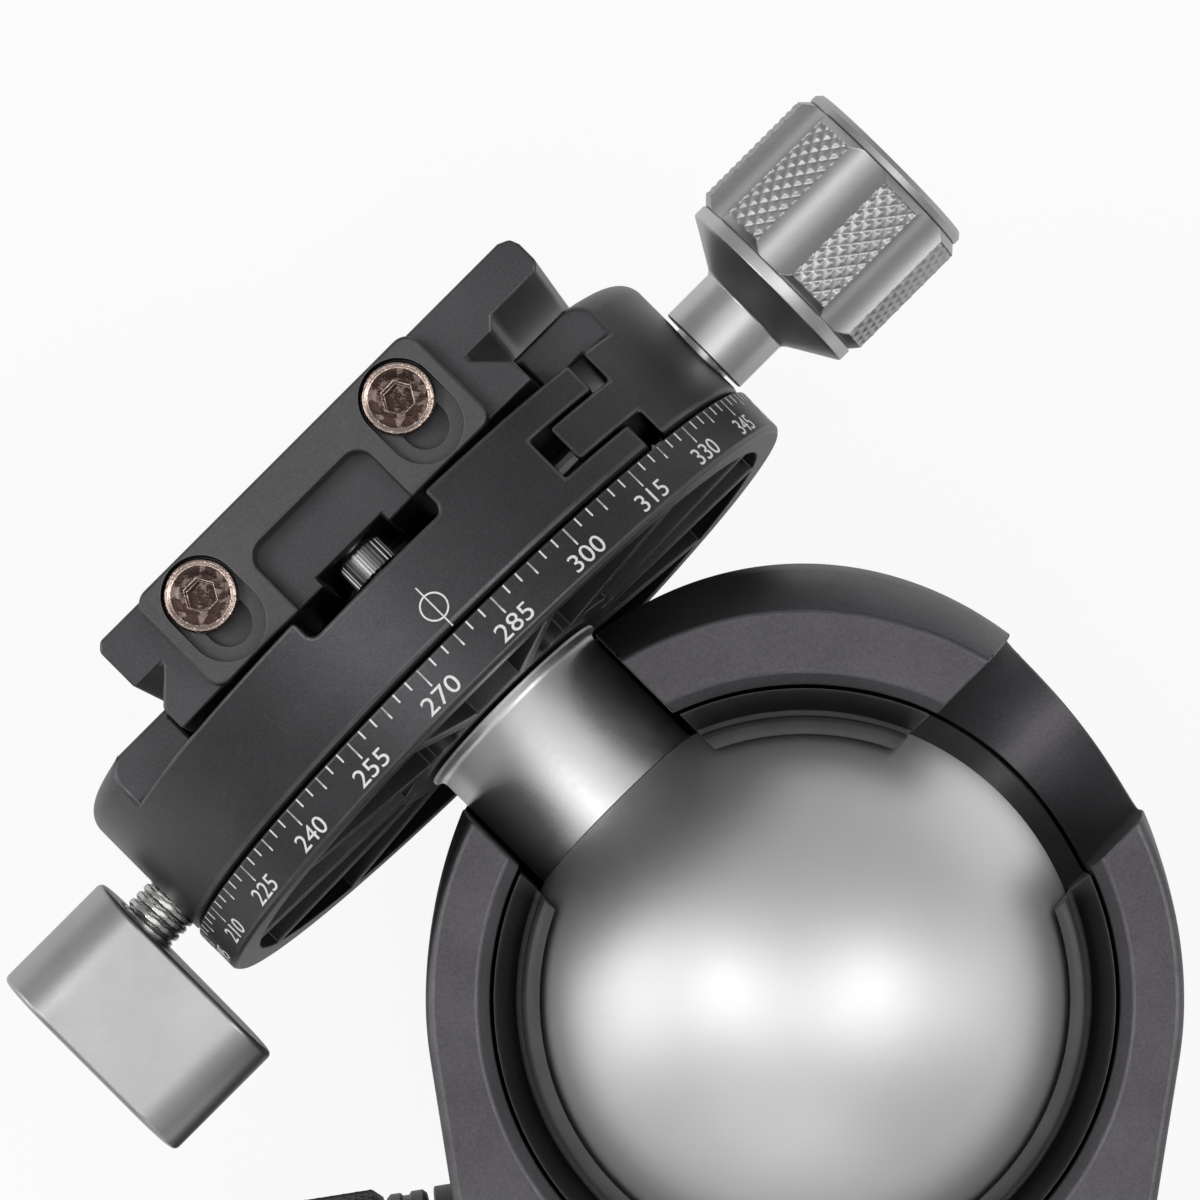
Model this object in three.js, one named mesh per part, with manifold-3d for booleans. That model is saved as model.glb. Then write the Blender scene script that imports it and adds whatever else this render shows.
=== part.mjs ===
// Tripod ball head with two drop notches, an egg shaped housing and a panning clamp, in millimetres, +Z up.
// The origin is the centre of the base's mounting face. At rest the stem lies in the notch at 135 degrees.

import * as THREE from "three";
import { mergeVertices } from "three/addons/utils/BufferGeometryUtils.js";
import Module from "manifold-3d";

const wasm = await Module();
wasm.setup();

// Angles
const degree = Math.PI / 180;
const quarterTurn = 90 * degree;
const halfTurn = 180 * degree;
const fullTurn = 360 * degree;
const notchAzimuth = 135 * degree;
const secondNotchAzimuth = 45 * degree;
const stemDrop = 5 * degree;
const rearTaper = 9 * degree;
const mainAzimuth = 189 * degree;
const frictionAzimuth = -9 * degree;

// Clearances
const gap = 0.3;
const overrun = 1;
const weld = 0.0001;

// Round steps
const wideSteps = 48;
const middleSteps = 32;
const smallSteps = 16;
const arcSteps = 6;
const hexagon = 6;

// Base, up from the mounting face
const baseTop = 11.2;
const baseEdge = 0.8;
const spigotRise = 6.2;
const spigotTop = baseTop + spigotRise;
const spigotRadius = 13;
const spigotClearance = 0.4;
const baseBore = spigotRadius + spigotClearance;
const thrustWasherInset = 0.6;
const thrustWasherRadius = spigotRadius - thrustWasherInset;
const thrustWasherThickness = 0.8;
const bushingRadius = 7.4;
const bushingRoof = 0.8;
const bushingTop = baseTop - bushingRoof;
const threadBoreRadius = 4.76;
const boltRadius = 4;
const boltHeadRadius = 6.6;
const boltHeadHeight = 2.1;
const boltSeatDepth = 2.5;
const boltFootRise = 1.1;
const boltFoot = bushingTop + boltFootRise;
const boltSocketRadius = 2.8;
const boltSocketDepth = 1.4;
const baseGrooveDepth = 0.6;
const baseGrooveWidth = 1.2;
const baseGrooveHeight = 2.4;

// The stack inside the housing, from the spigot to the ball
const housingSlit = 0.6;
const housingBottom = baseTop + housingSlit;
const webBottom = spigotTop + gap + thrustWasherThickness + gap;
const webThickness = 4.9;
const webTop = webBottom + webThickness;
const wedgeBottom = webTop + gap;
const wedgeThickness = 2.4;
const wedgeTop = wedgeBottom + wedgeThickness;
const cupBottom = wedgeTop + gap;
const cupFloor = 3;
const ballRadius = 22;
const ballHeight = cupBottom + cupFloor + gap + ballRadius;
const cupDrop = 14.4;
const cupTop = ballHeight - cupDrop;
const linerDrop = 13;
const linerFloor = ballHeight - linerDrop;
const rimRise = 10.5;
const rimHeight = ballHeight + rimRise;
const retainerDepth = 1.3;
const retainerTop = rimHeight - retainerDepth;
const retainerStepDepth = 0.4;
const retainerStep = retainerTop - retainerStepDepth;
const retainerThickness = 3.4;
const retainerEdge = 0.35;
const linerLip = 0.5;
const shoulderRise = 1.5;
const shoulderHeight = ballHeight + shoulderRise;
const waistRise = 12.2;
const waistHeight = housingBottom + waistRise;
const bossRise = 10;
const bossHeight = wedgeBottom + bossRise;
const wedgeLugRise = 3;
const wedgeLugTop = bossHeight + wedgeLugRise;
const baseLockRise = 4.2;
const baseLockHeight = baseTop + baseLockRise;

// Liner, retainer and cup, outwards from the ball
const retainerInner = ballRadius + gap;
const linerLipReach = 1.55;
const linerLipInner = ballRadius - linerLipReach;
const linerShoulderReach = 0.2;
const linerShoulder = ballRadius - linerShoulderReach;
const linerWall = 2;
const linerOuter = ballRadius + linerWall;
const retainerOuter = linerOuter;
const linerBore = linerOuter + gap;
const cupInset = 4.4;
const cupOuter = ballRadius - cupInset;
const cupClearance = 0.4;
const cupBore = cupOuter + cupClearance;
const cupInnerRadius = 6;

// Housing, outwards from its mouth
const mouthChamfer = 1;
const mouthRadius = linerBore + mouthChamfer;
const rimWidth = 3.4;
const rimHalfWidth = mouthRadius + rimWidth;
const rimFrontReach = 1.2;
const rimFront = rimHalfWidth + rimFrontReach;
const rimEdgeRound = 0.5;
const shoulderReach = 0.6;
const shoulderHalfWidth = rimHalfWidth + shoulderReach;
const shoulderFrontReach = 5;
const shoulderFront = rimHalfWidth + shoulderFrontReach;
const waistReach = 0.2;
const waistHalfWidth = rimHalfWidth + waistReach;
const waistFrontReach = 1.8;
const waistFront = rimHalfWidth + waistFrontReach;
const footInset = 0.1;
const footHalfWidth = rimHalfWidth - footInset;
const rearInset = 1.2;
const rearRound = rimHalfWidth - rearInset;
const rearLength = (shoulderHalfWidth - rearRound) / Math.sin(rearTaper);
const baseRadius = rearRound;
const mainBossRadius = 10.5;
const frictionBossRadius = 8;
const bossReach = rearRound + gap;

// Wedge, rearwards from the cup
const wedgeFront = 13;
const wedgeHalfWidth = 7;
const wedgeLugSetback = 0.6;
const wedgeLugFront = cupBore + wedgeLugSetback;
const wedgeLugLength = 7.4;
const wedgeLugRear = wedgeLugFront + wedgeLugLength;
const wedgeLugThickness = 3;
const wedgeTravel = 1;
const bossSetback = 3.4;
const bossAxisRear = wedgeLugFront + bossSetback;

// Main lock knob, outwards from its boss
const knobSlit = 0.6;
const mainScrewRadius = 4;
const mainScrewNose = 2.2;
const mainCollarStart = bossReach + knobSlit;
const mainCollarRadius = 10.4;
const mainCollarLength = 3.2;
const mainCollarEnd = mainCollarStart + mainCollarLength;
const mainGripRadius = 11.2;
const mainGripReach = 17.4;
const mainGripEnd = mainCollarEnd + mainGripReach;
const mainFlutes = 10;
const mainFluteRadius = 3.4;
const mainFluteDepth = 1.1;
const mainCapRadius = 8.4;
const mainCapRise = 1.2;
const mainCapEnd = mainGripEnd + mainCapRise;
const mainCapDepth = 2.6;
const mainGripEdge = 0.9;
const mainScrewInset = 3.2;
const mainScrewEnd = mainGripEnd - mainScrewInset;

// Friction knob, outwards from its boss
const frictionScrewRadius = 3;
const frictionKnobStart = bossReach + knobSlit;
const frictionKnobLength = 10;
const frictionKnobEnd = frictionKnobStart + frictionKnobLength;
const frictionScrewInset = 2.4;
const frictionScrewEnd = frictionKnobEnd - frictionScrewInset;
const frictionKnobEdge = 0.8;
const frictionKnobRadius = 8.6;
const frictionPadRadius = 2.7;
const frictionPadLength = 3.4;
const frictionSpringInner = 1.6;
const frictionSpringLength = 3;

// Base pan lock, rearwards from the housing
const baseLockScrewRadius = 2.4;
const baseLockKnobRadius = 6.8;
const baseLockSlit = 0.2;
const baseLockKnobStart = rearRound + rearLength + baseLockSlit;
const baseLockKnobLength = 10.2;
const baseLockKnobEnd = baseLockKnobStart + baseLockKnobLength;
const baseLockKnobEdge = 0.7;
const baseLockScrewInset = 3;
const baseLockScrewEnd = baseLockKnobEnd - baseLockScrewInset;
const brakeShoeLength = 3;

// Stem, measured along it from the ball's centre
const notchRadius = 8.4;
const stemRadius = notchRadius - gap;
const stemSpigotRadius = 5;
const stemSpigotDepth = 9;
const stemReach = 10.2;
const stemEnd = ballRadius + stemReach;
const stemCollarFlare = 0.6;
const stemCollarRadius = stemRadius + stemCollarFlare;
const stemCollarHeight = 0.35;
const stemSeatDepth = 0.4;

// Pan ring and its journal, along the stem
const ringRadius = 30;
const ringBottom = stemEnd + gap;
const ringHeight = 4.1;
const ringTop = ringBottom + ringHeight;
const ringRimWidth = 2.7;
const ringRimInner = ringRadius - ringRimWidth;
const ringHubRadius = 11.6;
const ringPocketDepth = 3;
const ringEdge = 0.4;
const ringSpokes = 12;
const ringSpokeWidth = 1.3;
const hubNotches = 6;
const hubNotchRadius = 1.3;
const clampBottom = ringTop + gap;
const journalRadius = 9;
const journalRise = 4.4;
const journalTop = clampBottom + journalRise;
const clampBoltRadius = 2.5;
const clampBoltHeadRadius = 4.6;
const clampBoltGrip = 7.2;
const clampBoltFoot = stemEnd - clampBoltGrip;
const keeperFlange = 1.3;
const keeperRadius = journalRadius + keeperFlange;
const keeperHeight = 2.1;
const keeperTop = journalTop + keeperHeight;
const keeperRecess = 1.3;
const clampBoltHeadHeight = 1.6;
const clampBoltSocket = 1.7;
const clampBoltSocketDepth = 1.1;

// Clamp body and jaws, up from the pan ring
const clampInset = 0.2;
const clampRadius = ringRadius - clampInset;
const jawFingerRise = 2.7;
const jawFingerBottom = clampBottom + jawFingerRise;
const jawFingerHeight = 3.3;
const jawFingerTop = jawFingerBottom + jawFingerHeight;
const clampLedgeRise = 8.9;
const clampLedge = clampBottom + clampLedgeRise;
const seatRise = 0.6;
const seatFloor = clampLedge + seatRise;
const clampLipRise = 3.8;
const clampTop = clampLedge + clampLipRise;
const clampRound = 1.8;
const channelHalfWidth = 7;
const channelDepth = 0.8;
const channelFloor = seatFloor - channelDepth;
const endNotchDepth = 1.8;
const endNotchFloor = channelFloor - endNotchDepth;
const endNotchStart = 11;
const jawFlat = 15;
const pocketWall = 15.3;
const jawFingerSlit = 1.8;
const jawFingerEnd = pocketWall + jawFingerSlit;
const pocketDepth = 6.2;
const fixedFingerEnd = pocketWall + pocketDepth;
const jawSlit = 1.5;
const jawWall = fixedFingerEnd + jawSlit;
const guidePinRadius = 1.2;
const guidePinPlace = 13;
const guidePinStart = 9;
const guidePinLength = 16;
const guidePinEnd = guidePinStart + guidePinLength;
const washerInner = 12;
const washerOuter = 20;
const washerThickness = 0.7;

// Clamp screw and knob, outwards from the clamp
const clampScrewRise = 4.25;
const clampScrewHeight = clampBottom + clampScrewRise;
const clampScrewRadius = 2.6;
const clampSpringOuter = 3.3;
const clampSpringInner = clampScrewRadius + gap;
const clampScrewTip = 11;
const clampSpringSetback = 2.3;
const clampSpringStart = clampScrewTip + clampSpringSetback;
const clampSpringLength = 6.7;
const clampSpringEnd = clampSpringStart + clampSpringLength;
const clampShaftRadius = 4;
const clampShaftStart = clampRadius + gap;
const clampShaftLength = 4.6;
const clampBellStart = clampShaftStart + clampShaftLength;
const clampBellLength = 2.4;
const clampBellEnd = clampBellStart + clampBellLength;
const clampBellRadius = 8.05;
const clampBellRim = 0.9;
const clampGripStart = clampBellEnd + clampBellRim + gap;
const clampGripRadius = 8.62;
const clampGripLength = 11.5;
const clampGripEnd = clampGripStart + clampGripLength;
const clampGripEdge = 0.7;
const clampFlutes = 8;
const clampFluteRadius = 2;
const clampFluteDepth = 0.75;
const clampScrewInset = 3.8;
const clampScrewEnd = clampGripEnd - clampScrewInset;
const clampCapRadius = 7.95;
const clampCapRise = 0.75;
const clampCapEnd = clampGripEnd + clampCapRise;
const clampCapStemRadius = 4;
const clampCapStemDepth = 2.8;

// Clamp pan lock
const lockRise = 3.2;
const lockHeight = clampBottom + lockRise;
const lockScrewRadius = 2.4;
const lockShoeRadius = 1.2;
const lockShoeLength = 3.3;
const paddleSlit = 2.65;
const paddleStart = ringRadius + paddleSlit;
const paddleWidth = 10.75;
const paddleEnd = paddleStart + paddleWidth;
const paddleHeadRadius = 5;
const paddleTailRadius = 4.2;
const paddleReach = 9.8;
const paddleScrewDepth = 6;

// Quick release plate, up from the clamp's seat
const plateHalfLength = 23;
const plateBottom = seatFloor + gap;
const lipHeight = 2.1;
const plateCorner = plateBottom + lipHeight;
const lipHalfWidth = 18.8;
const apexInset = 2.3;
const apexHalfWidth = lipHalfWidth - apexInset;
const neckHeight = 0.4;
const flangeBottom = plateCorner + apexInset + neckHeight;
const flangeHeight = 4.4;
const plateTop = flangeBottom + flangeHeight;
const flangeLeftReach = 0.4;
const flangeLeft = lipHalfWidth + flangeLeftReach;
const flangeRightReach = 6.65;
const flangeRight = lipHalfWidth + flangeRightReach;
const flangeRise = 0.8;
const flangeStepReach = 0.5;
const flangeStep = lipHalfWidth + flangeStepReach;
const flangeCorner = 1.2;
const flangeSmallCorner = 0.6;
const plateRecessRoof = 3.1;
const plateRecessTop = plateTop - plateRecessRoof;
const plateRecessRadius = 6.9;
const endNotchHalf = 3.5;
const endNotchRise = 0.85;
const padHalfWidth = 2.4;
const padPlace = 12;
const padDepth = 0.9;
const padEndMargin = 3;

// Stop bar and its screws
const barThickness = 2.6;
const barHalfWidth = 14.8;
const barBottom = seatFloor;
const barCorner = 1.4;
const windowHalfWidth = 6;
const windowHeight = 5.9;
const windowTop = barBottom + windowHeight;
const windowCorner = 1.4;
const barTravel = 2.8;
const barScrewPlace = 10.6;
const barScrewDepth = 3.3;
const barScrewHeight = plateTop - barScrewDepth;
const barScrewHeadRadius = 2.85;
const barScrewHeadHeight = 1.2;
const barScrewShankRadius = 1.5;
const barScrewLength = 7;
const barScrewSocketRadius = 1.25;
const barScrewSocketDepth = 0.7;
const slotClearance = 0.2;

// Safety screws
const safetyPlace = 19;
const safetyHeadRadius = 2.05;
const safetyHeadDrop = 1.8;
const safetyHeadBottom = plateBottom - safetyHeadDrop;
const safetyHeadHeight = 2.5;
const safetyHeadTop = safetyHeadBottom + safetyHeadHeight;
const safetyShankRadius = 1.25;
const safetyShankLength = 3.6;
const safetyShankTop = safetyHeadTop + safetyShankLength;
const safetySocketRadius = 1;
const safetySocketDepth = 1.2;

// Camera screw
const studRadius = 3.1;
const studHeadRadius = 6.2;
const studHeadBottom = channelFloor + gap;
const studHeadThickness = 2;
const studTop = plateTop - gap;
const coinSlotHalfWidth = 0.7;
const coinSlotDepth = 0.9;
const studNeckRadius = 2.4;
const clipRadius = 5.2;
const clipThickness = 0.6;
const studNeckLength = 1.2;

// Finishes
const blackAnodised = { color: 0x2b292c, roughness: 0.42, metalness: 0.6 };
const blackDark = { color: 0x1c1b1d, roughness: 0.5, metalness: 0.5 };
const polymer = { color: 0x232325, roughness: 0.6, metalness: 0 };
const satinSilver = { color: 0xc4c4c3, roughness: 0.38, metalness: 0.95 };
const brushedSteel = { color: 0xb3b2b0, roughness: 0.3, metalness: 1 };
const copperScrew = { color: 0x8a6a5c, roughness: 0.3, metalness: 0.95 };
const brass = { color: 0xb08d57, roughness: 0.4, metalness: 0.9 };
const rubber = { color: 0x1a1a1a, roughness: 0.85, metalness: 0 };

// Geometry to solid, with its faces turned out
function solidOf(geometry) {
  const bare = geometry.clone();
  bare.deleteAttribute("normal");
  bare.deleteAttribute("uv");
  const merged = mergeVertices(bare, weld);
  const corners = new Uint32Array(merged.index.array);
  const build = () =>
    new wasm.Manifold(
      new wasm.Mesh({ numProp: 3, vertProperties: merged.attributes.position.array, triVerts: corners }),
    );
  const first = build();
  if (first.volume() > 0) return first;
  corners.reverse();
  return build();
}

function geometryOf(solid) {
  const made = solid.getMesh();
  const geometry = new THREE.BufferGeometry();
  geometry.setAttribute("position", new THREE.BufferAttribute(made.vertProperties, 3));
  geometry.setIndex(new THREE.BufferAttribute(made.triVerts, 1));
  geometry.computeVertexNormals();
  return geometry;
}

function join(...solids) {
  return solids.reduce((whole, next) => whole.add(next));
}

function cut(solid, ...tools) {
  return tools.reduce((left, tool) => left.subtract(tool), solid);
}

function mesh(name, solid, finish) {
  const made = new THREE.Mesh(geometryOf(solid), new THREE.MeshStandardMaterial(finish));
  made.name = name;
  return made;
}

// A turned solid about Z, from a closed run of [radius, height] points
function turned(profile, steps = middleSteps, start = 0, sweep = fullTurn) {
  const points = profile.map(([radius, height]) => new THREE.Vector2(radius, height));
  if (profile.every(([radius]) => radius > 0)) points.push(points[0].clone());
  return new THREE.LatheGeometry(points, steps, start, sweep).rotateX(quarterTurn);
}

function disc(radius, bottom, top, steps = middleSteps) {
  return solidOf(
    turned(
      [
        [0, bottom],
        [radius, bottom],
        [radius, top],
        [0, top],
      ],
      steps,
    ),
  );
}

function tube(inner, outer, bottom, top, steps = middleSteps) {
  return solidOf(
    turned(
      [
        [inner, bottom],
        [outer, bottom],
        [outer, top],
        [inner, top],
      ],
      steps,
    ),
  );
}

function block(left, right, front, back, bottom, top) {
  const geometry = new THREE.BoxGeometry(right - left, back - front, top - bottom);
  geometry.translate((left + right) / 2, (front + back) / 2, (bottom + top) / 2);
  return solidOf(geometry);
}

// A flat outline pushed up along Z
function pushed(shape, bottom, top, steps = 6) {
  const geometry = new THREE.ExtrudeGeometry(shape, {
    depth: top - bottom,
    bevelEnabled: false,
    curveSegments: steps,
  });
  geometry.translate(0, 0, bottom);
  return solidOf(geometry);
}

function outline(points) {
  return new THREE.Shape(points.map(([x, y]) => new THREE.Vector2(x, y)));
}

// A rectangle whose four corners are round
function roundedRectangle(left, right, bottom, top, corner) {
  const shape = new THREE.Shape();
  shape.moveTo(left + corner, bottom);
  shape.lineTo(right - corner, bottom);
  shape.absarc(right - corner, bottom + corner, corner, -quarterTurn, 0);
  shape.lineTo(right, top - corner);
  shape.absarc(right - corner, top - corner, corner, 0, quarterTurn);
  shape.lineTo(left + corner, top);
  shape.absarc(left + corner, top - corner, corner, quarterTurn, halfTurn);
  shape.lineTo(left, bottom + corner);
  shape.absarc(left + corner, bottom + corner, corner, halfTurn, halfTurn + quarterTurn);
  return shape;
}

// A slot outline: a circle drawn out from low to high along Y
function slotOutline(radius, place, low, high) {
  const shape = new THREE.Shape();
  shape.absarc(place, low, radius, halfTurn, fullTurn);
  shape.absarc(place, high, radius, 0, halfTurn);
  return shape;
}

// A solid made about Z, with its axis laid along +X, -X or towards the front
const squareTurn = quarterTurn / degree;
const towardsRight = (solid) => solid.rotate([0, squareTurn, 0]);
const towardsLeft = (solid) => solid.rotate([0, -squareTurn, 0]);
const towardsFront = (solid) => solid.rotate([squareTurn, 0, 0]);

// The hull of a front ellipse and a round rear, at one level of the housing
const rearShift = (shoulderHalfWidth - rearRound) / Math.sin(rearTaper);

function housingPoint(normal, halfWidth, front) {
  const x = Math.cos(normal);
  const y = Math.sin(normal);
  if (y >= 0) return [halfWidth * x, front * y];
  if (y > -Math.sin(rearTaper)) return [halfWidth * x, halfWidth * y];
  const round = rearRound + halfWidth - shoulderHalfWidth;
  return [round * x, round * y - rearShift];
}

function housingShell() {
  const levels = [
    [housingBottom, footHalfWidth, footHalfWidth],
    [waistHeight, waistHalfWidth, waistFront],
    [shoulderHeight, shoulderHalfWidth, shoulderFront],
    [rimHeight - rimEdgeRound, rimHalfWidth + rimEdgeRound, rimFront + rimEdgeRound],
    [rimHeight, rimHalfWidth, rimFront],
  ];
  const rings = levels.map(([height]) => [shoulderHalfWidth, height]);
  const profile = [[0, housingBottom], ...rings, [0, rimHeight]];
  const geometry = turned(profile, wideSteps);
  const place = geometry.attributes.position;
  for (let i = 0; i < place.count; i++) {
    const x = place.getX(i);
    const y = place.getY(i);
    if (Math.hypot(x, y) < gap) continue;
    const height = place.getZ(i);
    const level = levels.reduce((a, b) => (Math.abs(b[0] - height) < Math.abs(a[0] - height) ? b : a));
    const [px, py] = housingPoint(Math.atan2(y, x), level[1], level[2]);
    place.setXY(i, px, py);
  }
  return solidOf(geometry);
}

// The trough that a notch leaves, U shaped, drawn outward along the dropped stem
function notchTool(azimuth, radius) {
  const rise = rimHeight - ballHeight + ballRadius;
  const shape = new THREE.Shape();
  shape.moveTo(radius, rise);
  shape.lineTo(radius, 0);
  shape.absarc(0, 0, radius, 0, -halfTurn, true);
  shape.lineTo(-radius, rise);
  const geometry = new THREE.ExtrudeGeometry(shape, {
    depth: ringRadius + ballRadius,
    bevelEnabled: false,
    curveSegments: smallSteps,
  });
  geometry.rotateX(quarterTurn);
  geometry.rotateZ(halfTurn);
  geometry.rotateX(-stemDrop);
  geometry.rotateZ(azimuth - quarterTurn);
  geometry.translate(0, 0, ballHeight);
  return solidOf(geometry);
}

const notchCuts = (radius) => [notchTool(notchAzimuth, radius), notchTool(secondNotchAzimuth, radius)];

// A solid made about Z carried to the axis of one of the two rear knobs
function onRearAxis(solid, azimuth) {
  return towardsRight(solid)
    .rotate([0, 0, azimuth / degree])
    .translate([0, -bossAxisRear, bossHeight]);
}

function housingSolid() {
  const mainBoss = onRearAxis(disc(mainBossRadius, bossAxisRear / 2, bossReach), mainAzimuth);
  const frictionBoss = onRearAxis(disc(frictionBossRadius, bossAxisRear / 2, bossReach), frictionAzimuth);
  const mouth = solidOf(
    turned(
      [
        [0, linerFloor - gap],
        [linerBore, linerFloor - gap],
        [linerBore, rimHeight - mouthRadius + linerBore],
        [mouthRadius, rimHeight],
        [mouthRadius, rimHeight + overrun],
        [0, rimHeight + overrun],
      ],
      wideSteps,
    ),
  );
  const cupWell = disc(cupBore, wedgeBottom - gap, linerFloor + overrun);
  const wedgeWell = block(
    -wedgeHalfWidth - wedgeTravel - gap,
    wedgeHalfWidth + gap,
    -wedgeLugRear - gap,
    wedgeFront + gap,
    wedgeBottom - gap,
    wedgeTop + gap,
  );
  const lugWell = block(
    -wedgeLugThickness / 2 - wedgeTravel - gap,
    wedgeLugThickness / 2 + gap,
    -wedgeLugRear - gap,
    -wedgeLugFront + gap,
    wedgeBottom,
    wedgeLugTop + gap,
  );
  const baseWell = disc(baseBore, housingBottom - overrun, webBottom);
  const boltHole = disc(boltRadius + gap, webBottom - overrun, webTop + overrun, smallSteps);
  const boltSeat = disc(boltHeadRadius + gap, webTop - boltSeatDepth, webTop + overrun);
  const mainHole = onRearAxis(
    disc(mainScrewRadius + gap, 0, bossReach + overrun, smallSteps),
    mainAzimuth,
  );
  const frictionHole = onRearAxis(
    disc(frictionScrewRadius + gap, 0, bossReach + overrun, smallSteps),
    frictionAzimuth,
  );
  const lockHole = towardsFront(
    disc(baseLockScrewRadius + gap, spigotRadius - overrun, baseLockKnobStart, smallSteps),
  ).translate([0, 0, baseLockHeight]);
  return cut(
    join(housingShell(), mainBoss, frictionBoss),
    mouth,
    cupWell,
    wedgeWell,
    lugWell,
    baseWell,
    boltHole,
    boltSeat,
    mainHole,
    frictionHole,
    lockHole,
    ...notchCuts(notchRadius),
  );
}

// The retaining ring, before the notches part it into two arcs
function retainerRing() {
  return solidOf(
    turned(
      [
        [retainerInner, retainerTop - retainerThickness],
        [retainerOuter, retainerTop - retainerThickness],
        [retainerOuter, retainerTop],
        [retainerOuter - retainerEdge, retainerStep],
        [retainerInner, retainerTop - retainerThickness + gap],
      ],
      wideSteps,
    ),
  );
}

// Points of the ball's seat, as [radius, height], between two angles above its equator
function seatArc(from, to) {
  const sphere = ballRadius + gap;
  const points = [];
  for (let i = 0; i <= arcSteps; i++) {
    const angle = from + ((to - from) * i) / arcSteps;
    points.push([sphere * Math.cos(angle), ballHeight + sphere * Math.sin(angle)]);
  }
  return points;
}

// The race that holds the ball from above
function linerRace() {
  const sphere = ballRadius + gap;
  const top = retainerTop - retainerThickness - gap;
  const lipTop = ballHeight + Math.sqrt(sphere ** 2 - linerLipInner ** 2) + linerLip;
  const high = Math.acos(linerLipInner / sphere);
  const low = Math.asin((linerFloor - ballHeight) / sphere);
  const profile = [
    [linerOuter, linerFloor],
    [linerOuter, top],
    [linerShoulder, top],
    [linerShoulder, lipTop - linerLip],
    [linerLipInner, lipTop],
    ...seatArc(high, low),
  ];
  return solidOf(turned(profile, wideSteps));
}

function cupSolid() {
  const sphere = ballRadius + gap;
  const high = Math.asin((cupTop - ballHeight) / sphere);
  const low = -Math.acos(cupInnerRadius / sphere);
  const profile = [
    [cupInnerRadius, cupBottom],
    [cupOuter, cupBottom],
    [cupOuter, cupTop],
    ...seatArc(high, low),
  ];
  return solidOf(turned(profile));
}

function wedgeSolid() {
  return join(
    block(-wedgeHalfWidth, wedgeHalfWidth, -wedgeLugRear, wedgeFront, wedgeBottom, wedgeTop),
    block(
      -wedgeLugThickness / 2,
      wedgeLugThickness / 2,
      -wedgeLugRear,
      -wedgeLugFront,
      wedgeBottom,
      wedgeLugTop,
    ),
  );
}

// A round grip about Z with broken edges
function gripBlank(radius, bottom, top, edge) {
  return solidOf(
    turned([
      [0, bottom],
      [radius - edge, bottom],
      [radius, bottom + edge],
      [radius, top - edge],
      [radius - edge, top],
      [0, top],
    ]),
  );
}

// Round flutes along Z, evenly spaced on a circle
function flutes(count, radius, depth, gripRadius, bottom, top) {
  const tools = [];
  const place = gripRadius + radius - depth;
  for (let i = 0; i < count; i++) {
    const angle = (i * fullTurn + halfTurn) / count;
    const tool = disc(radius, bottom - overrun, top + overrun, smallSteps);
    tools.push(tool.translate([place * Math.cos(angle), place * Math.sin(angle), 0]));
  }
  return tools;
}

function basePieces() {
  const blank = solidOf(
    turned(
      [
        [0, 0],
        [baseRadius - baseEdge, 0],
        [baseRadius, baseEdge],
        [baseRadius, baseTop - baseGrooveHeight - baseGrooveWidth],
        [baseRadius - baseGrooveDepth, baseTop - baseGrooveHeight - baseGrooveWidth],
        [baseRadius - baseGrooveDepth, baseTop - baseGrooveHeight],
        [baseRadius, baseTop - baseGrooveHeight],
        [baseRadius, baseTop - baseEdge],
        [baseRadius - baseEdge, baseTop],
        [spigotRadius, baseTop],
        [spigotRadius, spigotTop],
        [0, spigotTop],
      ],
      wideSteps,
    ),
  );
  const bushingHole = disc(bushingRadius + gap, -overrun, bushingTop + gap);
  const boltHole = disc(boltRadius + gap, bushingTop, spigotTop + overrun, smallSteps);
  const headBottom = webTop - boltSeatDepth + gap;
  const headTop = headBottom + boltHeadHeight;
  const bolt = cut(
    join(
      disc(boltRadius, boltFoot, headBottom + gap, smallSteps),
      disc(boltHeadRadius, headBottom, headTop),
    ),
    disc(boltSocketRadius, headTop - boltSocketDepth, headTop + overrun, hexagon),
  );
  const washerBottom = spigotTop + gap;
  return [
    mesh("pan_base", cut(blank, bushingHole, boltHole), blackAnodised),
    mesh("tripod_bushing", tube(threadBoreRadius, bushingRadius, 0, bushingTop), brushedSteel),
    mesh("pivot_bolt", bolt, brushedSteel),
    mesh(
      "thrust_washer",
      tube(boltRadius + gap, thrustWasherRadius, washerBottom, washerBottom + thrustWasherThickness),
      polymer,
    ),
  ];
}

function housingPieces() {
  const openings = () => notchCuts(notchRadius + gap);
  const arcs = cut(retainerRing(), ...openings())
    .decompose()
    .sort((a, b) => a.volume() - b.volume());
  return [
    mesh("housing", housingSolid(), blackAnodised),
    mesh("retainer_front", arcs[0], blackDark),
    mesh("retainer_rear", arcs[1], blackDark),
    mesh("ball_liner", cut(linerRace(), ...openings()), polymer),
    mesh("lower_ball_cup", cupSolid(), brass),
    mesh("pressure_wedge", wedgeSolid(), brushedSteel),
  ];
}

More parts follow.
